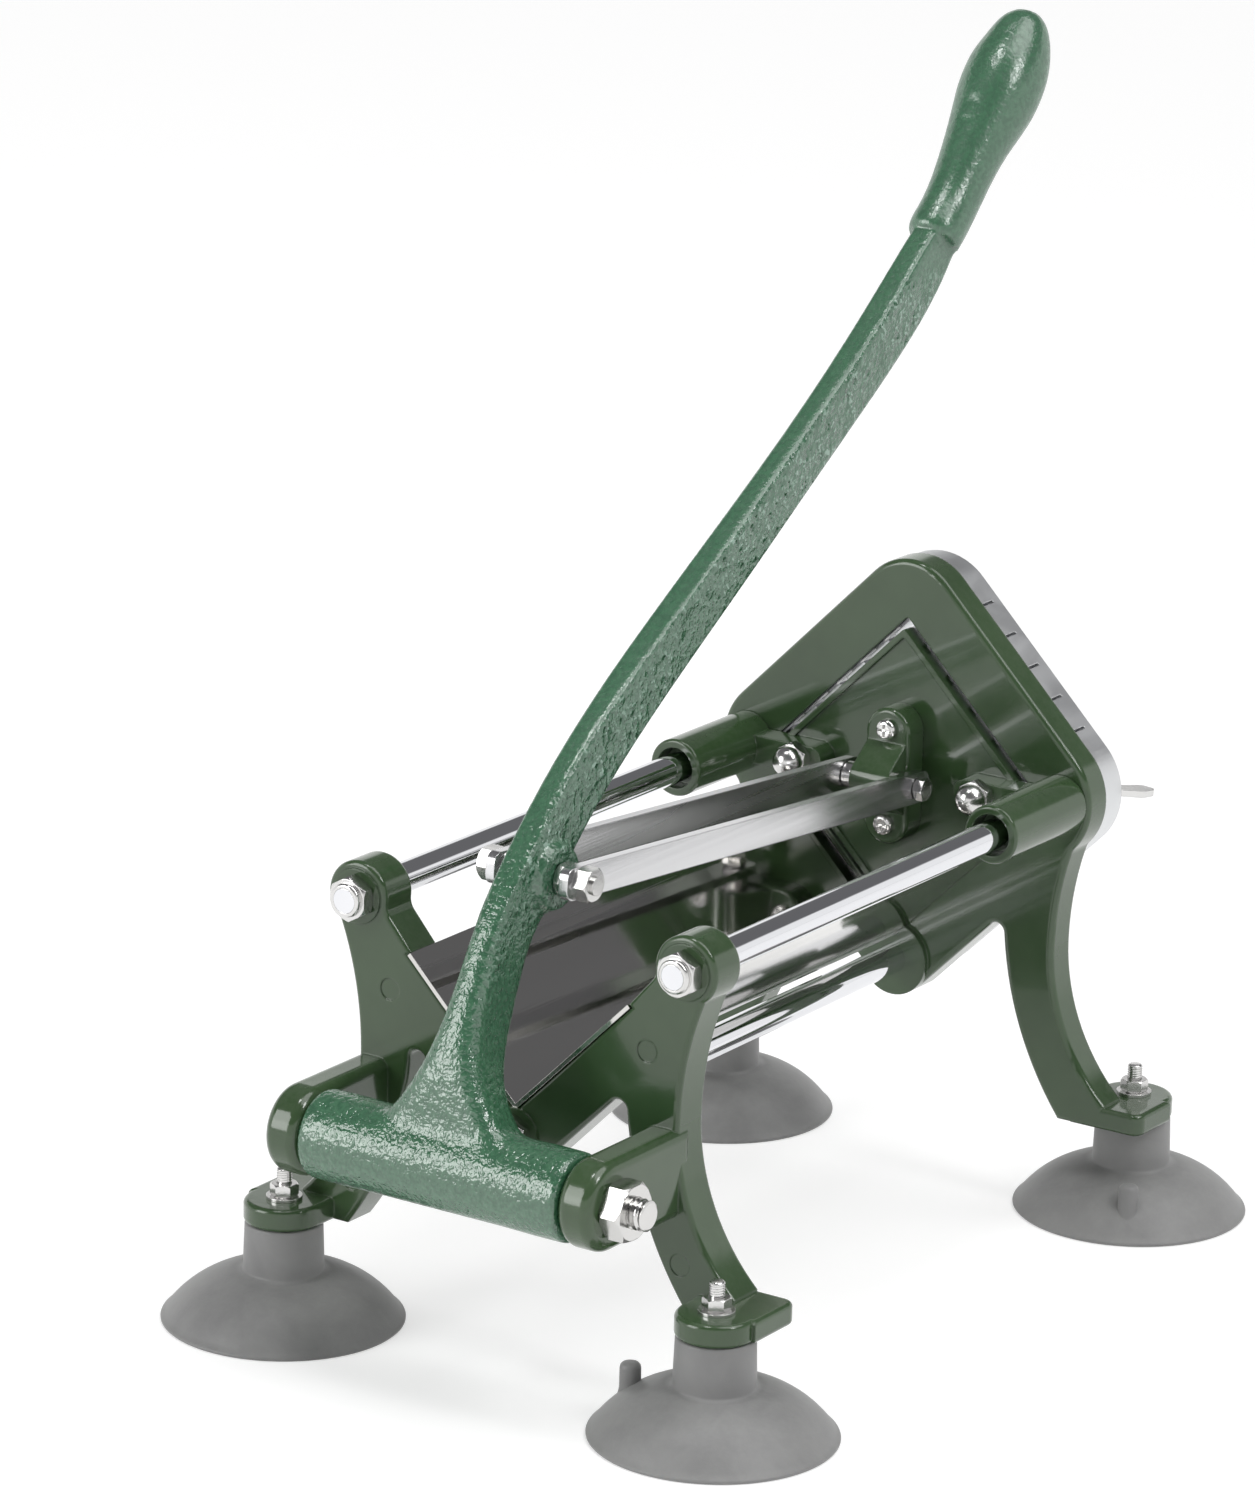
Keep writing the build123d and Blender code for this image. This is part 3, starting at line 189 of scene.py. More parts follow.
class Effects:
    """Surface effects that more than one finish uses, each a node group made once."""

    def __init__(self) -> None:
        """Starts with no group made."""
        self.made: dict[str, bpy.types.NodeTree] = {}

    def group(self, name: str, inputs: dict[str, float],
              outputs: Iterable[str]) -> tuple[bpy.types.NodeTree, Graph]:
        """Makes an empty group with a Vector input.

        Args:
            name: the group's name.
            inputs: each number that the group takes, with its usual value.
            outputs: the names of the values that it gives.

        Returns:
            The group's tree and its graph.
        """
        tree = bpy.data.node_groups.new(name, "ShaderNodeTree")
        tree.interface.new_socket(name="Vector", in_out="INPUT", socket_type="NodeSocketVector")
        for key, value in inputs.items():
            socket = tree.interface.new_socket(
                name=key, in_out="INPUT", socket_type="NodeSocketFloat")
            socket.default_value = value
        for key in outputs:
            tree.interface.new_socket(name=key, in_out="OUTPUT", socket_type="NodeSocketFloat")
        self.made[name] = tree
        return tree, Graph(tree)

    def paint_flow(self) -> bpy.types.NodeTree:
        """Returns the group for the long ripple and fine orange peel of sprayed gloss paint."""
        if "paint_flow" in self.made:
            return self.made["paint_flow"]
        tree, graph = self.group("paint_flow", {"Ripple": 55.0, "Peel": 420.0}, ("Height", "Tone"))
        way_in = graph.add("NodeGroupInput").outputs
        ripple = graph.noise(way_in["Vector"], way_in["Ripple"], 2.0, 0.45)
        peel = graph.noise(way_in["Vector"], way_in["Peel"], 1.0, 0.4)
        height = graph.math("MULTIPLY_ADD", peel, 0.16, ripple)
        tone = graph.ramp(graph.noise(way_in["Vector"], 28.0, 3.0, 0.55), 0.35, 0.68)
        graph.add("NodeGroupOutput", {"Height": height, "Tone": tone})
        return tree

    def metal_wear(self) -> bpy.types.NodeTree:
        """Returns the group for smears, fine pits and drawn lines on bright metal."""
        if "metal_wear" in self.made:
            return self.made["metal_wear"]
        tree, graph = self.group("metal_wear", {"Smear": 60.0, "Line": 900.0},
                                 ("Height", "Smears", "Tone"))
        way_in = graph.add("NodeGroupInput").outputs
        lines = graph.noise(way_in["Vector"], way_in["Line"], 2.0, 0.6)
        cloud = graph.noise(way_in["Vector"], way_in["Smear"], 3.0, 0.6, 0.6)
        smears = graph.ramp(cloud, 0.42, 0.70)
        tone = graph.noise(way_in["Vector"], 34.0, 2.0, 0.5)
        graph.add("NodeGroupOutput", {"Height": lines, "Smears": smears, "Tone": tone})
        return tree

    def dust(self) -> bpy.types.NodeTree:
        """Returns the group for the light dust that settles on what faces up."""
        if "dust" in self.made:
            return self.made["dust"]
        tree, graph = self.group("dust", {"Amount": 0.3}, ("Mask",))
        way_in = graph.add("NodeGroupInput").outputs
        up = graph.add("ShaderNodeSeparateXYZ",
                       {0: graph.add("ShaderNodeNewGeometry").outputs["Normal"]}).outputs[2]
        lying = graph.ramp(up, 0.25, 1.0, smooth=True)
        specks = graph.ramp(graph.noise(way_in["Vector"], 260.0, 4.0, 0.7), 0.38, 0.72)
        mask = graph.math("MULTIPLY", graph.math("MULTIPLY", lying, specks), way_in["Amount"])
        graph.add("NodeGroupOutput", {"Mask": mask})
        return tree


class Finish:
    """What every finish shares: a material with one Principled shader on object coordinates."""

    effects = Effects()

    @classmethod
    def start(cls, name: str, roughness: float, metallic: float = 0.0,
              **constants) -> tuple[bpy.types.Material, Graph, bpy.types.Node]:
        """Makes the material.

        Args:
            name: the material's name.
            roughness: the plain roughness.
            metallic: 1 for bare metal.
            constants: further shader sockets, with _ for a space.

        Returns:
            The material, its graph and its shader.
        """
        material = bpy.data.materials.new(name)
        material.use_nodes = True
        material.node_tree.nodes.clear()
        graph = Graph(material.node_tree)
        shader = graph.add("ShaderNodeBsdfPrincipled",
                           {"Roughness": roughness, "Metallic": metallic})
        for key, value in constants.items():
            shader.inputs[key.replace("_", " ")].default_value = value
        graph.add("ShaderNodeOutputMaterial", {"Surface": shader.outputs[0]})
        return material, graph, shader

    @staticmethod
    def place(graph: Graph, stretch: tuple[float, float, float] = (1.0, 1.0, 1.0)):
        """Returns object coordinates, stretched by the given scale."""
        place = graph.add("ShaderNodeTexCoord").outputs["Object"]
        if stretch == (1.0, 1.0, 1.0):
            return place
        return graph.add("ShaderNodeMapping", {"Vector": place, "Scale": stretch}).outputs[0]

    @classmethod
    def dusted(cls, graph: Graph, place, paint, amount: float, dust: Colour):
        """Lays light dust on what faces up.

        Args:
            graph: the material's graph.
            place: the coordinates.
            paint: the colour socket underneath.
            amount: how much dust lies there at most.
            dust: its colour.

        Returns:
            The dusted colour.
        """
        group = graph.add("ShaderNodeGroup", node_tree=cls.effects.dust())
        graph.feed(group.inputs["Vector"], place)
        group.inputs["Amount"].default_value = amount
        return graph.blend(group.outputs["Mask"], paint, dust)

    @staticmethod
    def relief(graph: Graph, shader: bpy.types.Node, height, distance: float,
               edge: float) -> None:
        """Feeds the shader's normal from a height over softened edges.

        Args:
            graph: the material's graph.
            shader: the shader to feed.
            height: the height socket.
            distance: how deep the relief is, in metres.
            edge: the radius that sharp edges are softened to, in metres.
        """
        rounded = graph.add("ShaderNodeBevel", {"Radius": edge}, samples=6).outputs[0]
        bump = graph.add("ShaderNodeBump", {"Strength": 1.0, "Distance": distance,
                                            "Height": height, "Normal": rounded})
        graph.feed(shader.inputs["Normal"], bump.outputs[0])


@dataclass(frozen=True)
class Enamel(Finish):
    """Smooth gloss enamel over a clean casting."""

    name: str
    deep: Colour
    light: Colour
    roughness: float = 0.13
    edge: float = 0.9 * MM
    ripple_depth: float = 0.10 * MM
    coat: float = 0.36
    dust: Colour = (0.45, 0.46, 0.42)
    dust_amount: float = 0.05

    def build(self) -> bpy.types.Material:
        """Returns the material."""
        material, graph, shader = self.start(self.name, self.roughness, Coat_Weight=self.coat,
                                             Coat_Roughness=0.05, Coat_IOR=1.6)
        place = self.place(graph)
        flow = graph.add("ShaderNodeGroup", node_tree=self.effects.paint_flow())
        graph.feed(flow.inputs["Vector"], place)
        paint = graph.blend(flow.outputs["Tone"], self.deep, self.light)
        graph.feed(shader.inputs["Base Color"],
                   self.dusted(graph, place, paint, self.dust_amount, self.dust))
        graph.feed(shader.inputs["Roughness"],
                   graph.ramp(flow.outputs["Tone"], 0.0, 1.0, self.roughness,
                              self.roughness + 0.07))
        self.relief(graph, shader, flow.outputs["Height"], self.ripple_depth, self.edge)
        return material


@dataclass(frozen=True)
class Hammertone(Finish):
    """Gloss paint over rough sand-cast faces: pitted sides and hub, smoother back face and grip."""

    name: str
    deep: Colour
    light: Colour
    # painted highlight: the pale colour laid on the crests of the rough sides in place of the
    # glints that light makes there
    painted_glint: Colour
    roughness: float = 0.13
    depth: float = 0.66 * MM
    edge: float = 0.5 * MM
    foot_low: float = 0.150
    foot_high: float = 0.200
    side_low: float = 0.120
    side_high: float = 0.165
    grip_low: float = 0.306
    grip_high: float = 0.318
    smooth_depth: float = 0.34
    smooth_haze: float = 0.13
    dust: Colour = (0.45, 0.47, 0.43)
    dust_amount: float = 0.05

    def rough_cast(self, graph: Graph, place) -> tuple[bpy.types.NodeSocket, bpy.types.NodeSocket]:
        """Returns where the casting is rough: its sides below the grip, and all of its foot."""
        facing = graph.add("ShaderNodeNewGeometry").outputs["Normal"]
        across = graph.add("ShaderNodeSeparateXYZ", {0: facing}).outputs[1]
        side = graph.ramp(graph.math("ABSOLUTE", across), 0.45, 0.85, smooth=True)
        level = graph.add("ShaderNodeSeparateXYZ", {0: place}).outputs[2]
        foot = graph.ramp(level, self.foot_low, self.foot_high, 1.0, 0.0, smooth=True)
        above_foot = graph.ramp(level, self.side_low, self.side_high, smooth=True)
        below_grip = graph.ramp(level, self.grip_low, self.grip_high, 1.0, 0.0, smooth=True)
        span = graph.math("MULTIPLY", above_foot, below_grip)
        return graph.math("MULTIPLY", side, span), foot

    def build(self) -> bpy.types.Material:
        """Returns the material."""
        material, graph, shader = self.start(self.name, self.roughness, IOR=1.95)
        place = self.place(graph)
        side, foot = self.rough_cast(graph, place)
        rough = graph.math("MAXIMUM", side, foot)
        grain = graph.noise(place, 1500.0, 1.0, 0.5)
        cells = graph.noise(place, 620.0, 1.0, 0.5, 0.3)
        pits = graph.add("ShaderNodeTexVoronoi", {"Vector": place, "Scale": 235.0}).outputs[0]
        patches = graph.ramp(graph.noise(place, 75.0, 2.0, 0.55), 0.42, 0.58, 0.25, 1.0)
        dents = graph.math("MULTIPLY", graph.ramp(pits, 0.08, 0.36, smooth=True),
                           graph.math("MULTIPLY", side, patches))
        swell = graph.noise(place, 260.0, 3.0, 0.6)
        fine = graph.math("MULTIPLY_ADD", grain, 0.10, graph.math("MULTIPLY", cells, 0.62))
        coarse = graph.math("MULTIPLY_ADD", dents, 1.25,
                            graph.math("MULTIPLY", swell, graph.ramp(side, 0.0, 1.0, 0.7, 1.9)))
        height = graph.math("MULTIPLY", graph.math("ADD", fine, coarse),
                            graph.ramp(rough, 0.0, 1.0, self.smooth_depth, 1.0))
        mottled = graph.ramp(cells, 0.36, 0.66)
        paint = graph.blend(mottled, self.deep, self.light)
        # Painted highlight: pale specks on the raised crests of the rough sides, blended into the
        # base colour, stand in for the glints of light on the hammered paint.
        painted_glint_crests = graph.math("MULTIPLY", graph.ramp(cells, 0.53, 0.60),
                            graph.ramp(swell, 0.47, 0.56))
        painted_glint_mask = graph.math("MULTIPLY", graph.math("MULTIPLY", painted_glint_crests, patches),
                            graph.ramp(side, 0.0, 1.0, 0.0, 0.75))
        paint = graph.blend(painted_glint_mask, paint, self.painted_glint)
        graph.feed(shader.inputs["Base Color"],
                   self.dusted(graph, place, paint, self.dust_amount, self.dust))
        sheen = graph.ramp(mottled, 0.0, 1.0, self.roughness + 0.06, self.roughness - 0.04)
        graph.feed(shader.inputs["Roughness"],
                   graph.math("ADD", sheen,
                              graph.ramp(rough, 0.0, 1.0, self.smooth_haze, 0.0)))
        self.relief(graph, shader, height, self.depth, self.edge)
        return material


@dataclass(frozen=True)
class Metal(Finish):
    """Bright metal: plated, polished, ground or cast, with smears and drawn lines."""

    name: str
    dull: Colour
    bright: Colour
    roughness: float
    spread: float
    grain: Along
    line_scale: float = 900.0
    stretch: float = 0.03
    depth: float = 0.012 * MM
    edge: float = 0.25 * MM

    def build(self) -> bpy.types.Material:
        """Returns the material."""
        material, graph, shader = self.start(self.name, self.roughness, 1.0)
        along = tuple(self.stretch if part else 1.0 for part in self.grain.value)
        wear = graph.add("ShaderNodeGroup", node_tree=self.effects.metal_wear())
        graph.feed(wear.inputs["Vector"], self.place(graph, along))
        wear.inputs["Line"].default_value = self.line_scale
        graph.feed(shader.inputs["Base Color"],
                   graph.blend(wear.outputs["Tone"], self.dull, self.bright))
        graph.feed(shader.inputs["Roughness"],
                   graph.ramp(wear.outputs["Smears"], 0.0, 1.0, self.roughness,
                              self.roughness + self.spread))
        self.relief(graph, shader, wear.outputs["Height"], self.depth, self.edge)
        return material


@dataclass(frozen=True)
class Rubber(Finish):
    """Satin moulded rubber with a faint bloom."""

    name: str
    dark: Colour
    bloom: Colour
    roughness: float = 0.46
    grain: float = 1500.0
    depth: float = 0.03 * MM
    edge: float = 0.3 * MM
    dust: Colour = (0.46, 0.46, 0.45)
    dust_amount: float = 0.12

    def build(self) -> bpy.types.Material:
        """Returns the material."""
        material, graph, shader = self.start(self.name, self.roughness,
                                             Specular_IOR_Level=0.45, Sheen_Weight=0.08)
        place = self.place(graph)
        cloud = graph.ramp(graph.noise(place, 42.0, 4.0, 0.6, 0.5), 0.34, 0.70)
        skin = graph.blend(cloud, self.dark, self.bloom)
        graph.feed(shader.inputs["Base Color"],
                   self.dusted(graph, place, skin, self.dust_amount, self.dust))
        graph.feed(shader.inputs["Roughness"],
                   graph.ramp(cloud, 0.0, 1.0, self.roughness - 0.05, self.roughness + 0.07))
        self.relief(graph, shader, graph.noise(place, self.grain, 2.0, 0.5), self.depth, self.edge)
        return material


FINISHES: dict[Slot, Enamel | Hammertone | Metal | Rubber] = {
    Slot.ENAMEL: Enamel("olive_gloss_enamel", (0.036, 0.072, 0.028), (0.047, 0.090, 0.037)),
    # The third colour of the hammer paint is the painted highlight laid on the crests of the rough
    # sides.
    Slot.HAMMERTONE: Hammertone("green_hammer_paint", (0.028, 0.112, 0.055),
                                (0.052, 0.160, 0.084), (0.30, 0.46, 0.37)),
    Slot.CHROME: Metal("bright_chrome_plate", (0.74, 0.75, 0.78), (0.84, 0.84, 0.86), 0.035,
                       0.05, Along.X),
    Slot.ZINC: Metal("bright_zinc_plate", (0.62, 0.61, 0.59), (0.74, 0.74, 0.74), 0.15, 0.13,
                     Along.Y, 1400.0, 0.6, 0.02 * MM, 0.3 * MM),
    Slot.STAINLESS: Metal("mirror_stainless_sheet", (0.58, 0.57, 0.55), (0.68, 0.67, 0.65), 0.045,
                          0.06, Along.X, 1200.0, 0.02, 0.008 * MM),
    Slot.BLADE: Metal("ground_blade_steel", (0.64, 0.65, 0.66), (0.76, 0.77, 0.78), 0.14, 0.10,
                      Along.X, 1600.0, 0.05, 0.02 * MM),
    Slot.ALUMINIUM: Metal("machined_cast_aluminium", (0.64, 0.65, 0.66), (0.76, 0.77, 0.78), 0.34,
                          0.12, Along.X, 700.0, 0.5, 0.05 * MM, 0.4 * MM),
    Slot.RUBBER: Rubber("grey_moulded_rubber", (0.225, 0.225, 0.225), (0.275, 0.275, 0.272)),
}

DRESSED: dict[Slot, tuple[str, ...]] = {
    Slot.ENAMEL: ("rear_frame", "front_frame", "pusher_carriage", "pusher_bracket"),
    Slot.HAMMERTONE: ("handle",),
    Slot.CHROME: ("rod_left", "rod_right", "rod_bottom"),
    Slot.ZINC: ("rod_lock_nuts", "pivot_bolt", "pivot_nut", "foot_studs", "foot_washers",
                "foot_nuts", "handle_stud", "link_studs", "link_jam_nuts", "link_end_nuts",
                "bracket_screws", "pusher_pin", "pusher_pin_spacers", "pusher_pin_nuts",
                "push_block_studs", "acorn_nuts", "wing_nut_left", "wing_nut_right"),
    Slot.STAINLESS: ("trough",),
    Slot.BLADE: ("blades_rising", "blades_falling"),
    Slot.ALUMINIUM: ("blade_frame", "push_block"),
    Slot.RUBBER: ("suction_cup_rear_left", "suction_cup_rear_right", "suction_cup_front_left",
                  "suction_cup_front_right"),
}

LINK_PLATE = Metal("plated_flat_bar", (0.60, 0.60, 0.61), (0.72, 0.72, 0.73), 0.17, 0.16, Along.X,
                   1100.0, 0.02, 0.02 * MM, 0.5 * MM)
LINK_BARS = ("link_bar_left", "link_bar_right")


# ------------------------------------------------------------------ modelling bench
class Bench:
    """Modelling calls that several pieces share."""

    @staticmethod
    def clear() -> None:
        """Deselects everything in object mode."""
        if bpy.context.object and bpy.context.object.mode != "OBJECT":
            bpy.ops.object.mode_set(mode="OBJECT")
        bpy.ops.object.select_all(action="DESELECT")

    @staticmethod
    def take(piece: bpy.types.Object) -> None:
        """Makes one piece the only selected and active one."""
        Bench.clear()
        piece.select_set(True)
        bpy.context.view_layer.objects.active = piece

    @staticmethod
    def named(name: str) -> bpy.types.Object:
        """Names the active object and its mesh, and returns it."""
        piece = bpy.context.object
        piece.name = name
        piece.data.name = name
        return piece

    @staticmethod
    def seat(piece: bpy.types.Object) -> None:
        """Puts the piece's place into its mesh."""
        Bench.take(piece)
        bpy.ops.object.transform_apply(location=True, rotation=True, scale=True)

    @staticmethod
    def finish_with(piece: bpy.types.Object, kind: str, **settings) -> None:
        """Adds a modifier and applies it.

        Args:
            piece: the piece.
            kind: the modifier's type.
            settings: its settings.
        """
        Bench.take(piece)
        modifier = piece.modifiers.new(kind.title(), kind)
        for key, value in settings.items():
            setattr(modifier, key, value)
        bpy.ops.object.modifier_apply(modifier=modifier.name)

    @staticmethod
    def shade(piece: bpy.types.Object, degrees: float = 35.0) -> None:
        """Smooths faces that meet at less than the given angle."""
        Bench.take(piece)
        bpy.ops.object.shade_smooth_by_angle(angle=math.radians(degrees))

    @staticmethod
    def copy_of_node(node: str, name: str) -> bpy.types.Object:
        """Copies a CAD node into a piece of its own mesh, with its doubles merged.

        Args:
            node: the node's name.
            name: the new piece's name.

        Returns:
            The piece.
        """
        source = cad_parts[node]
        piece = bpy.data.objects.new(name, source.data.copy())
        piece.data.name = name
        bpy.context.scene.collection.objects.link(piece)
        Bench.take(piece)
        bpy.ops.object.mode_set(mode="EDIT")
        bpy.ops.mesh.select_all(action="SELECT")
        bpy.ops.mesh.remove_doubles(threshold=0.002 * MM)
        bpy.ops.object.mode_set(mode="OBJECT")
        return piece

    @staticmethod
    def lathe(name: str, stations: Stations, turns: int = 64) -> bpy.types.Object:
        """Turns a closed round piece about Z from rings of (radius, height).

        Args:
            name: the piece's name.
            stations: the rings from the lower end, in millimetres.
            turns: the vertices of a ring.

        Returns:
            The piece, with both ends filled.
        """
        radius, level = stations[0]
        Bench.clear()
        bpy.ops.mesh.primitive_circle_add(vertices=turns, radius=radius * MM,
                                          location=(0.0, 0.0, level * MM), fill_type="NGON")
        piece = Bench.named(name)
        Bench.seat(piece)
        bpy.ops.object.mode_set(mode="EDIT")
        bpy.ops.mesh.select_all(action="SELECT")
        for wide, high in stations[1:]:
            bpy.ops.mesh.extrude_region_move(
                TRANSFORM_OT_translate={"value": (0.0, 0.0, (high - level) * MM)})
            grow = wide / radius
            bpy.ops.transform.resize(value=(grow, grow, 1.0),
                                     center_override=(0.0, 0.0, high * MM))
            radius, level = wide, high
        bpy.ops.mesh.select_all(action="SELECT")
        bpy.ops.mesh.normals_make_consistent(inside=False)
        bpy.ops.object.mode_set(mode="OBJECT")
        return piece

    @staticmethod
    def move(piece: bpy.types.Object, matrix: Matrix) -> None:
        """Moves the piece's mesh by a matrix."""
        piece.matrix_world = matrix
        Bench.seat(piece)

    @staticmethod
    def join(pieces: Sequence[bpy.types.Object], name: str) -> bpy.types.Object:
        """Joins pieces into one of the given name."""
        Bench.take(pieces[0])
        for piece in pieces[1:]:
            piece.select_set(True)
        bpy.ops.object.join()
        return Bench.named(name)

    @staticmethod
    def dress(piece: bpy.types.Object, slot: Slot, material: bpy.types.Material) -> None:
        """Gives a piece one material."""
        piece.data.materials.clear()
        piece.data.materials.append(material)


# ------------------------------------------------------------------ sub-assemblies
@dataclass
class CastHandle:
    """The cast lever: hub, curved arm and grip flow into each other as sand castings do."""

    paint: bpy.types.Material
    voxel: float = 0.85 * MM
    passes: int = 6
    foot_passes: int = 120
    foot_top: float = 0.152
    foot_fade: float = 0.030
    hub_reach: float = 0.036
    hub_fade: float = 0.012

    def foot_weight(self, place: Vector) -> float:
        """Returns how strongly a point is blended: fully at the arm's root, not at the ends."""
        down = min(max((self.foot_top - place.z) / self.foot_fade, 0.0), 1.0)
        inward = min(max((self.hub_reach - abs(place.y)) / self.hub_fade, 0.0), 1.0)
        return down * inward

    def build(self) -> bpy.types.Object:
        """Builds the handle.

        Returns:
            The piece.
        """
        piece = Bench.copy_of_node("handle", "cast_handle")
        Bench.finish_with(piece, "REMESH", mode="VOXEL", voxel_size=self.voxel)
        Bench.finish_with(piece, "SMOOTH", factor=0.5, iterations=self.passes)
        foot = piece.vertex_groups.new(name="foot")
        for vertex in piece.data.vertices:
            weight = self.foot_weight(vertex.co)
            if weight > 0.0:
                foot.add([vertex.index], weight, "REPLACE")
        Bench.finish_with(piece, "SMOOTH", factor=0.5, iterations=self.foot_passes,
                          vertex_group="foot")
        piece.vertex_groups.remove(piece.vertex_groups["foot"])
        Bench.take(piece)
        bpy.ops.object.shade_smooth()
        Bench.dress(piece, Slot.HAMMERTONE, self.paint)
        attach(piece, Body.HANDLE.value)
        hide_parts("handle")
        log.info("%s: %d faces", piece.name, len(piece.data.polygons))
        return piece


@dataclass
class SuctionFeet:
    """The four moulded cups with their release tabs."""

    rubber: bpy.types.Material
    rim: float = 39.0
    shoulder: float = 13.8
    shoulder_height: float = 16.6
    neck: float = 12.9
    neck_top: float = 12.5
    height: float = 33.0
    dome_rise: float = 3.0
    hollow: float = 9.0
    tab_radius: float = 3.4
    tab_reach: float = 29.0
    tab_top: float = 18.3

    CORNERS = {"rear_left": 35.0, "rear_right": 96.0, "front_left": 35.0, "front_right": 208.5}

    def dome(self, count: int) -> list[tuple[float, float]]:
        """Returns rings of the bulging upper face from the lip to the shoulder."""
        start, end = Vector((self.rim - 0.7, 1.5)), Vector((self.shoulder, self.shoulder_height))
        across = Vector((end.y - start.y, start.x - end.x)).normalized()
        rings = []
        for step in range(1, count):
            share = step / count
            point = start.lerp(end, share) + across * self.dome_rise * 4.0 * share * (1.0 - share)
            rings.append((point.x, point.y))
        return rings

    def underside(self, count: int) -> list[tuple[float, float]]:
        """Returns rings of the hollow from its middle out to the lip."""
        inner = self.rim - 1.6
        return [(inner * step / count, self.hollow * (1.0 - (step / count) ** 2))
                for step in range(1, count + 1)]

    def stations(self) -> list[tuple[float, float]]:
        """Returns all rings from the middle of the hollow to the top of the neck."""
        rings = [(0.4, self.hollow), *self.underside(14)]
        rings += [(self.rim - 1.2, 0.0), (self.rim - 0.5, 0.1), (self.rim - 0.05, 0.5),
                  (self.rim, 0.9), (self.rim - 0.15, 1.3), (self.rim - 0.5, 1.45)]
        rings += self.dome(16)
        rings += [(self.shoulder + 0.25, self.shoulder_height - 0.25),
                  (self.shoulder, self.shoulder_height),
                  (self.neck + 0.45, self.shoulder_height + 0.15),
                  (self.neck + 0.12, self.shoulder_height + 0.4),
                  (self.neck, self.shoulder_height + 0.9),
                  (self.neck, self.shoulder_height + 3.0), (self.neck_top, self.height - 0.7),
                  (self.neck_top - 0.2, self.height - 0.2), (self.neck_top - 0.6, self.height),
                  (3.0, self.height)]
        return rings

    def tab(self, degrees: float) -> bpy.types.Object:
        """Returns the release tab: a round peg that flares into the dome."""
        radius, top = self.tab_radius, self.tab_top
        rings = [(radius + 1.4, 4.8), (radius + 1.1, 6.4), (radius + 0.5, 7.8),
                 (radius + 0.15, 9.2), (radius, 10.6), (radius - 0.05, top - 1.8),
                 (radius - 0.25, top - 0.9), (radius - 0.8, top - 0.3), (radius - 1.7, top),
                 (0.8, top)]
        piece = Bench.lathe("tab", rings, 28)
        angle = math.radians(degrees)
        Bench.move(piece, Matrix.Translation((self.tab_reach * MM * math.cos(angle),
                                              self.tab_reach * MM * math.sin(angle), 0.0)))
        return piece

    def build(self) -> list[bpy.types.Object]:
        """Builds the cups.

        Returns:
            One piece for each foot.
        """
        cups = []
        for corner, degrees in self.CORNERS.items():
            node = f"suction_cup_{corner}"
            low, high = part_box(node)
            cup = Bench.lathe("cup", self.stations(), 96)
            cup = Bench.join([cup, self.tab(degrees)], f"rubber_foot_{corner}")
            middle = ((low[0] + high[0]) / 2.0, (low[1] + high[1]) / 2.0, 0.0)
            Bench.move(cup, Matrix.Translation(middle))
            Bench.shade(cup, 50.0)
            Bench.dress(cup, Slot.RUBBER, self.rubber)
            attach(cup, Body.BASE.value)
            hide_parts(node)
            cups.append(cup)
            log.info("%s: %d faces", cup.name, len(cup.data.polygons))
        return cups


@dataclass
class Thread:
    """A rolled thread with a chamfered end, made pointing up Z from the origin."""

    radius: float
    pitch: float
    length: float
    turns: int = 32

    def build(self) -> bpy.types.Object:
        """Builds the thread.

        Returns:
            The piece, standing on Z = 0.
        """
        depth = 0.55 * self.pitch
        Bench.clear()
        bpy.ops.mesh.primitive_circle_add(vertices=3, radius=1.0, fill_type="NOTHING",
                                          rotation=(math.pi / 2.0, math.pi / 2.0, 0.0))
        ridge = Bench.named("thread")
        Bench.seat(ridge)
        points = sorted((tuple(v.co) for v in ridge.data.vertices), key=lambda p: p[0])
        outward = 1.0 if abs(points[0][0] - points[1][0]) < 1e-4 else -1.0
        wide = abs(max(p[2] for p in points) - min(p[2] for p in points))
        deep = abs(points[-1][0] - points[0][0])
        ridge.scale = (outward * depth * MM / deep, 1.0, self.pitch * MM / wide)
        Bench.seat(ridge)
        tip = max(v.co.x for v in ridge.data.vertices)
        foot = min(v.co.z for v in ridge.data.vertices)
        Bench.move(ridge, Matrix.Translation((self.radius * MM - tip, 0.0, -foot)))
        bpy.ops.object.mode_set(mode="EDIT")
        bpy.ops.mesh.select_mode(type="EDGE")
        bpy.ops.mesh.select_all(action="DESELECT")
        bpy.ops.object.mode_set(mode="OBJECT")
        inner = self.radius * MM - depth * MM + 1e-6
        for edge in ridge.data.edges:
            ends = [ridge.data.vertices[index].co.x for index in edge.vertices]
            edge.select = max(ends) <= inner
        bpy.ops.object.mode_set(mode="EDIT")
        bpy.ops.mesh.delete(type="EDGE")
        bpy.ops.object.mode_set(mode="OBJECT")
        rounds = max(1, int(self.length / self.pitch) - 1)
        Bench.finish_with(ridge, "SCREW", axis="Z", angle=2.0 * math.pi, steps=self.turns,
                          render_steps=self.turns, screw_offset=self.pitch * MM,
                          iterations=rounds, use_merge_vertices=True)
        bpy.ops.object.mode_set(mode="EDIT")
        bpy.ops.mesh.select_all(action="SELECT")
        bpy.ops.mesh.remove_doubles(threshold=0.001 * MM)
        bpy.ops.mesh.normals_make_consistent(inside=False)
        bpy.ops.object.mode_set(mode="OBJECT")
        root = self.radius - depth
        core = Bench.lathe("core", [(root + 0.02, 0.0), (root + 0.02, self.length - 0.9),
                                    (self.radius - 0.12 * self.pitch, self.length - 0.75),
                                    (self.radius - 0.12 * self.pitch, self.length - 0.45),
                                    (root, self.length - 0.05), (root - 0.3, self.length),
                                    (0.3, self.length)], self.turns)
        return Bench.join([ridge, core], "thread")


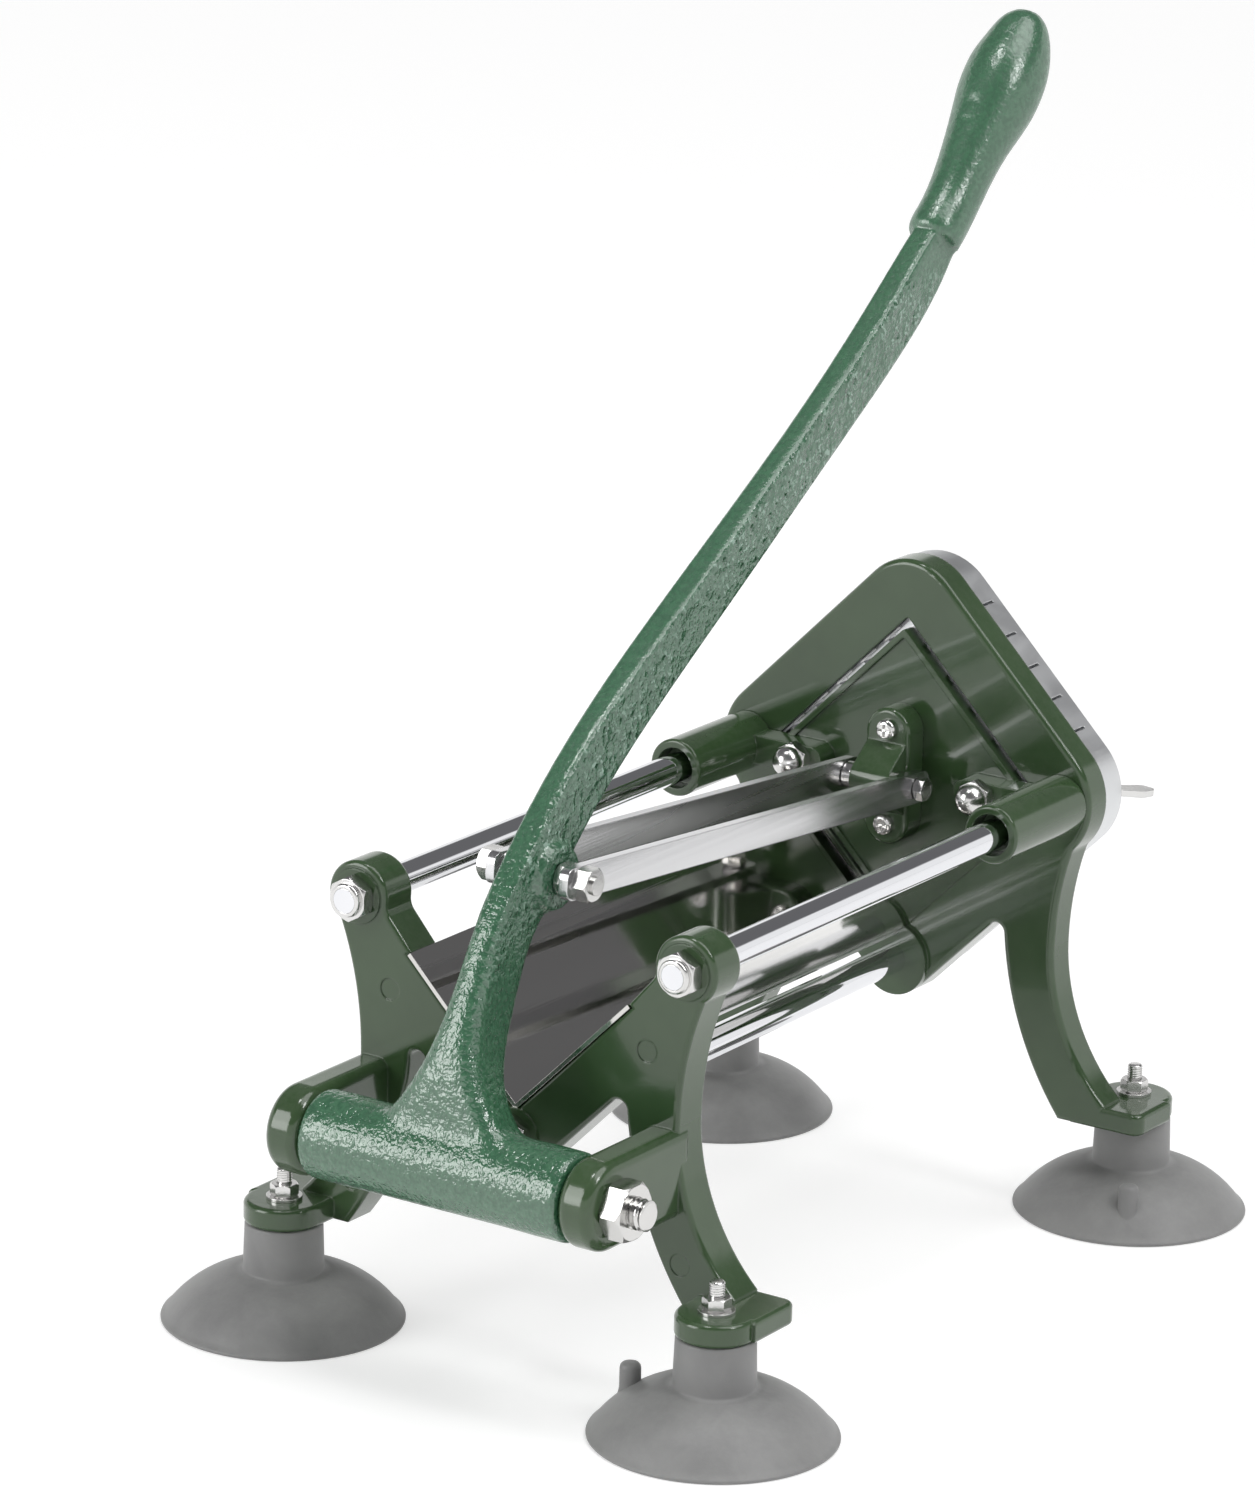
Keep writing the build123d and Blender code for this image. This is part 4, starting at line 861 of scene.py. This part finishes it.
@dataclass
class ThreadedBolts:
    """The bolt and stud ends that stand proud of their nuts."""

    zinc: bpy.types.Material
    bolt_end: float = 5.4
    bolt_radius: float = 5.0
    bolt_pitch: float = 1.5
    stud_end: float = 6.6
    stud_radius: float = 2.5
    stud_pitch: float = 0.8

    @staticmethod
    def cut_back(piece: bpy.types.Object, point: Vector, normal: Vector) -> None:
        """Cuts off what lies beyond a plane and closes the cut.

        Args:
            piece: the piece.
            point: a point of the plane.
            normal: the direction of the part that goes.
        """
        Bench.take(piece)
        bpy.ops.object.mode_set(mode="EDIT")
        bpy.ops.mesh.select_all(action="SELECT")
        bpy.ops.mesh.bisect(plane_co=point, plane_no=normal, clear_outer=True, use_fill=True)
        bpy.ops.object.mode_set(mode="OBJECT")

    def pivot(self) -> bpy.types.Object:
        """Returns the handle's cross bolt."""
        piece = Bench.copy_of_node("pivot_bolt", "pivot_bolt_threaded")
        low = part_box("pivot_bolt")[0]
        nut_low, nut_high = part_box("pivot_nut")
        centre = (Vector(nut_low) + Vector(nut_high)) / 2.0
        start = low[1] + self.bolt_end * MM
        self.cut_back(piece, Vector((0.0, start, 0.0)), Vector((0.0, -1.0, 0.0)))
        thread = Thread(self.bolt_radius, self.bolt_pitch, self.bolt_end).build()
        Bench.move(thread, Matrix.Translation((centre.x, start, centre.z))
                   @ Matrix.Rotation(math.pi / 2.0, 4, "X"))
        piece = Bench.join([piece, thread], "pivot_bolt_threaded")
        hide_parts("pivot_bolt")
        return piece

    def feet(self) -> bpy.types.Object:
        """Returns the four foot studs."""
        piece = Bench.copy_of_node("foot_studs", "foot_studs_threaded")
        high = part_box("foot_studs")[1]
        start = high[2] - self.stud_end * MM
        self.cut_back(piece, Vector((0.0, 0.0, start)), Vector((0.0, 0.0, 1.0)))
        parts = [piece]
        for corner in SuctionFeet.CORNERS:
            cup_low, cup_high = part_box(f"suction_cup_{corner}")
            thread = Thread(self.stud_radius, self.stud_pitch, self.stud_end, 20).build()
            Bench.move(thread, Matrix.Translation(((cup_low[0] + cup_high[0]) / 2.0,
                                                   (cup_low[1] + cup_high[1]) / 2.0, start)))
            parts.append(thread)
        piece = Bench.join(parts, "foot_studs_threaded")
        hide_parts("foot_studs")
        return piece

    def build(self) -> list[bpy.types.Object]:
        """Builds the threaded pieces.

        Returns:
            The cross bolt and the studs.
        """
        pieces = [self.pivot(), self.feet()]
        for piece in pieces:
            Bench.shade(piece, 40.0)
            Bench.dress(piece, Slot.ZINC, self.zinc)
            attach(piece, Body.BASE.value)
            log.info("%s: %d faces", piece.name, len(piece.data.polygons))
        return pieces


# ------------------------------------------------------------------ studio
@dataclass
class Studio:
    """White floor, soft light and the camera."""

    target: Vector = Vector((0.05912, 0.08175, 0.14573))
    distance: float = 2.2103
    yaw: float = 33.758
    pitch: float = 16.330
    roll: float = 1.328
    lens: float = 159.395
    floor_size: float = 9.0
    floor_glow: float = 0.40
    floor_white: float = 1.34
    fill: float = 0.38
    wall: Colour = (1.0, 1.0, 1.0)
    ceiling: Colour = (0.15, 0.15, 0.155)
    wall_low: float = 0.33
    wall_high: float = 0.41
    middle: Vector = Vector((0.0, 0.0, 0.15))

    def camera(self) -> None:
        """Sets the camera."""
        yaw, pitch, roll = (math.radians(angle) for angle in (self.yaw, self.pitch, self.roll))
        ahead = Vector((math.cos(pitch) * math.cos(yaw), math.cos(pitch) * math.sin(yaw),
                        -math.sin(pitch)))
        right = ahead.cross(Vector((0.0, 0.0, 1.0))).normalized()
        upward = right.cross(ahead)
        turned = right * math.cos(roll) + upward * math.sin(roll)
        raised = upward * math.cos(roll) - right * math.sin(roll)
        data = bpy.data.cameras.new("camera")
        data.sensor_width = 36.0
        data.lens = self.lens
        data.clip_end = 50.0
        camera = bpy.data.objects.new("camera", data)
        bpy.context.scene.collection.objects.link(camera)
        place = Matrix((turned, raised, -ahead)).transposed().to_4x4()
        place.translation = self.target - ahead * self.distance
        camera.matrix_world = place
        bpy.context.scene.camera = camera

    def floor(self) -> None:
        """Lays the white floor."""
        Bench.clear()
        bpy.ops.mesh.primitive_plane_add(size=self.floor_size, location=(0.0, 0.0, 0.0))
        floor = Bench.named("floor")
        bpy.ops.object.mode_set(mode="EDIT")
        bpy.ops.mesh.subdivide(number_cuts=4)
        bpy.ops.object.mode_set(mode="OBJECT")
        material = bpy.data.materials.new("white_floor")
        material.use_nodes = True
        material.node_tree.nodes.clear()
        graph = Graph(material.node_tree)
        sheet = graph.add("ShaderNodeBsdfDiffuse", {"Color": (0.97, 0.97, 0.97, 1.0)})
        glow = graph.add("ShaderNodeEmission", {"Color": (1.0, 1.0, 1.0, 1.0),
                                                 "Strength": self.floor_white})
        mix = graph.add("ShaderNodeMixShader", {
            0: graph.math("MULTIPLY", graph.shown_rays(), self.floor_glow),
            1: sheet.outputs[0], 2: glow.outputs[0]})
        graph.add("ShaderNodeOutputMaterial", {"Surface": mix.outputs[0]})
        floor.data.materials.append(material)

    def surround(self) -> None:
        """Sets the pale studio round the object."""
        world = bpy.data.worlds.new("studio")
        bpy.context.scene.world = world
        world.use_nodes = True
        world.node_tree.nodes.clear()
        graph = Graph(world.node_tree)
        way = graph.add("ShaderNodeTexCoord").outputs["Generated"]
        parts = graph.add("ShaderNodeSeparateXYZ", {0: way}).outputs
        above = graph.ramp(parts[2], self.wall_low, self.wall_high, smooth=True)
        seen = graph.blend(above, self.wall, self.ceiling)
        light = graph.add("ShaderNodeBackground", {"Color": (1.0, 1.0, 1.0, 1.0),
                                                   "Strength": self.fill})
        backdrop = graph.add("ShaderNodeBackground", {"Color": seen, "Strength": 1.0})
        mix = graph.add("ShaderNodeMixShader", {0: graph.shown_rays(), 1: light.outputs[0],
                                                2: backdrop.outputs[0]})
        graph.add("ShaderNodeOutputWorld", {"Surface": mix.outputs[0]})

    def lamp(self, name: str, kind: str, place: Vector, energy: float, **settings) -> None:
        """Adds a lamp that faces the middle of the object.

        Args:
            name: the lamp's name.
            kind: SUN or AREA.
            place: where it stands.
            energy: its strength.
            settings: further settings.
        """
        data = bpy.data.lights.new(name, kind)
        data.energy = energy
        diffuse = settings.pop("diffuse", True)
        glossy = settings.pop("glossy", True)
        for key, value in settings.items():
            setattr(data, key, value)
        lamp = bpy.data.objects.new(name, data)
        lamp.visible_camera = False
        lamp.visible_diffuse = diffuse
        lamp.visible_glossy = glossy
        bpy.context.scene.collection.objects.link(lamp)
        facing = (place - self.middle).to_track_quat("Z", "Y")
        lamp.matrix_world = Matrix.Translation(place) @ facing.to_matrix().to_4x4()

    def build(self) -> None:
        """Sets up the whole studio."""
        self.camera()
        self.floor()
        self.surround()
        self.lamp("sky", "SUN", Vector((0.5, -0.9, 2.6)), 1.05, angle=math.radians(44.0))
        self.lamp("top_box", "AREA", Vector((-0.35, 0.30, 2.10)), 6.0, shape="RECTANGLE",
                  size=0.40, size_y=0.40)
        self.lamp("right_box", "AREA", Vector((-0.09, -1.66, 1.79)), 9.5, shape="RECTANGLE",
                  size=0.45, size_y=0.60)
        self.lamp("left_strip", "AREA", Vector((-1.78, 1.16, 0.92)), 21.0, shape="RECTANGLE",
                  size=1.10, size_y=1.45, diffuse=False)
        self.lamp("left_fill", "AREA", Vector((-1.78, 1.16, 0.92)), 16.0, shape="RECTANGLE",
                  size=0.80, size_y=1.20, glossy=False)


def main() -> None:
    """Dresses the nodes, builds the pieces and sets the studio."""
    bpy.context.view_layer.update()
    materials = {slot: finish.build() for slot, finish in FINISHES.items()}
    for slot, nodes in DRESSED.items():
        for node in nodes:
            Bench.dress(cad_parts[node], slot, materials[slot])
    plate = LINK_PLATE.build()
    for node in LINK_BARS:
        Bench.dress(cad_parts[node], Slot.CHROME, plate)
    Studio().build()
    CastHandle(materials[Slot.HAMMERTONE]).build()
    SuctionFeet(materials[Slot.RUBBER]).build()
    ThreadedBolts(materials[Slot.ZINC]).build()
    Bench.clear()


if __name__ == "__main__":
    logging.basicConfig(level=logging.INFO, format="%(message)s")
    bpy.context.scene.view_settings.view_transform = "Standard"
    main()
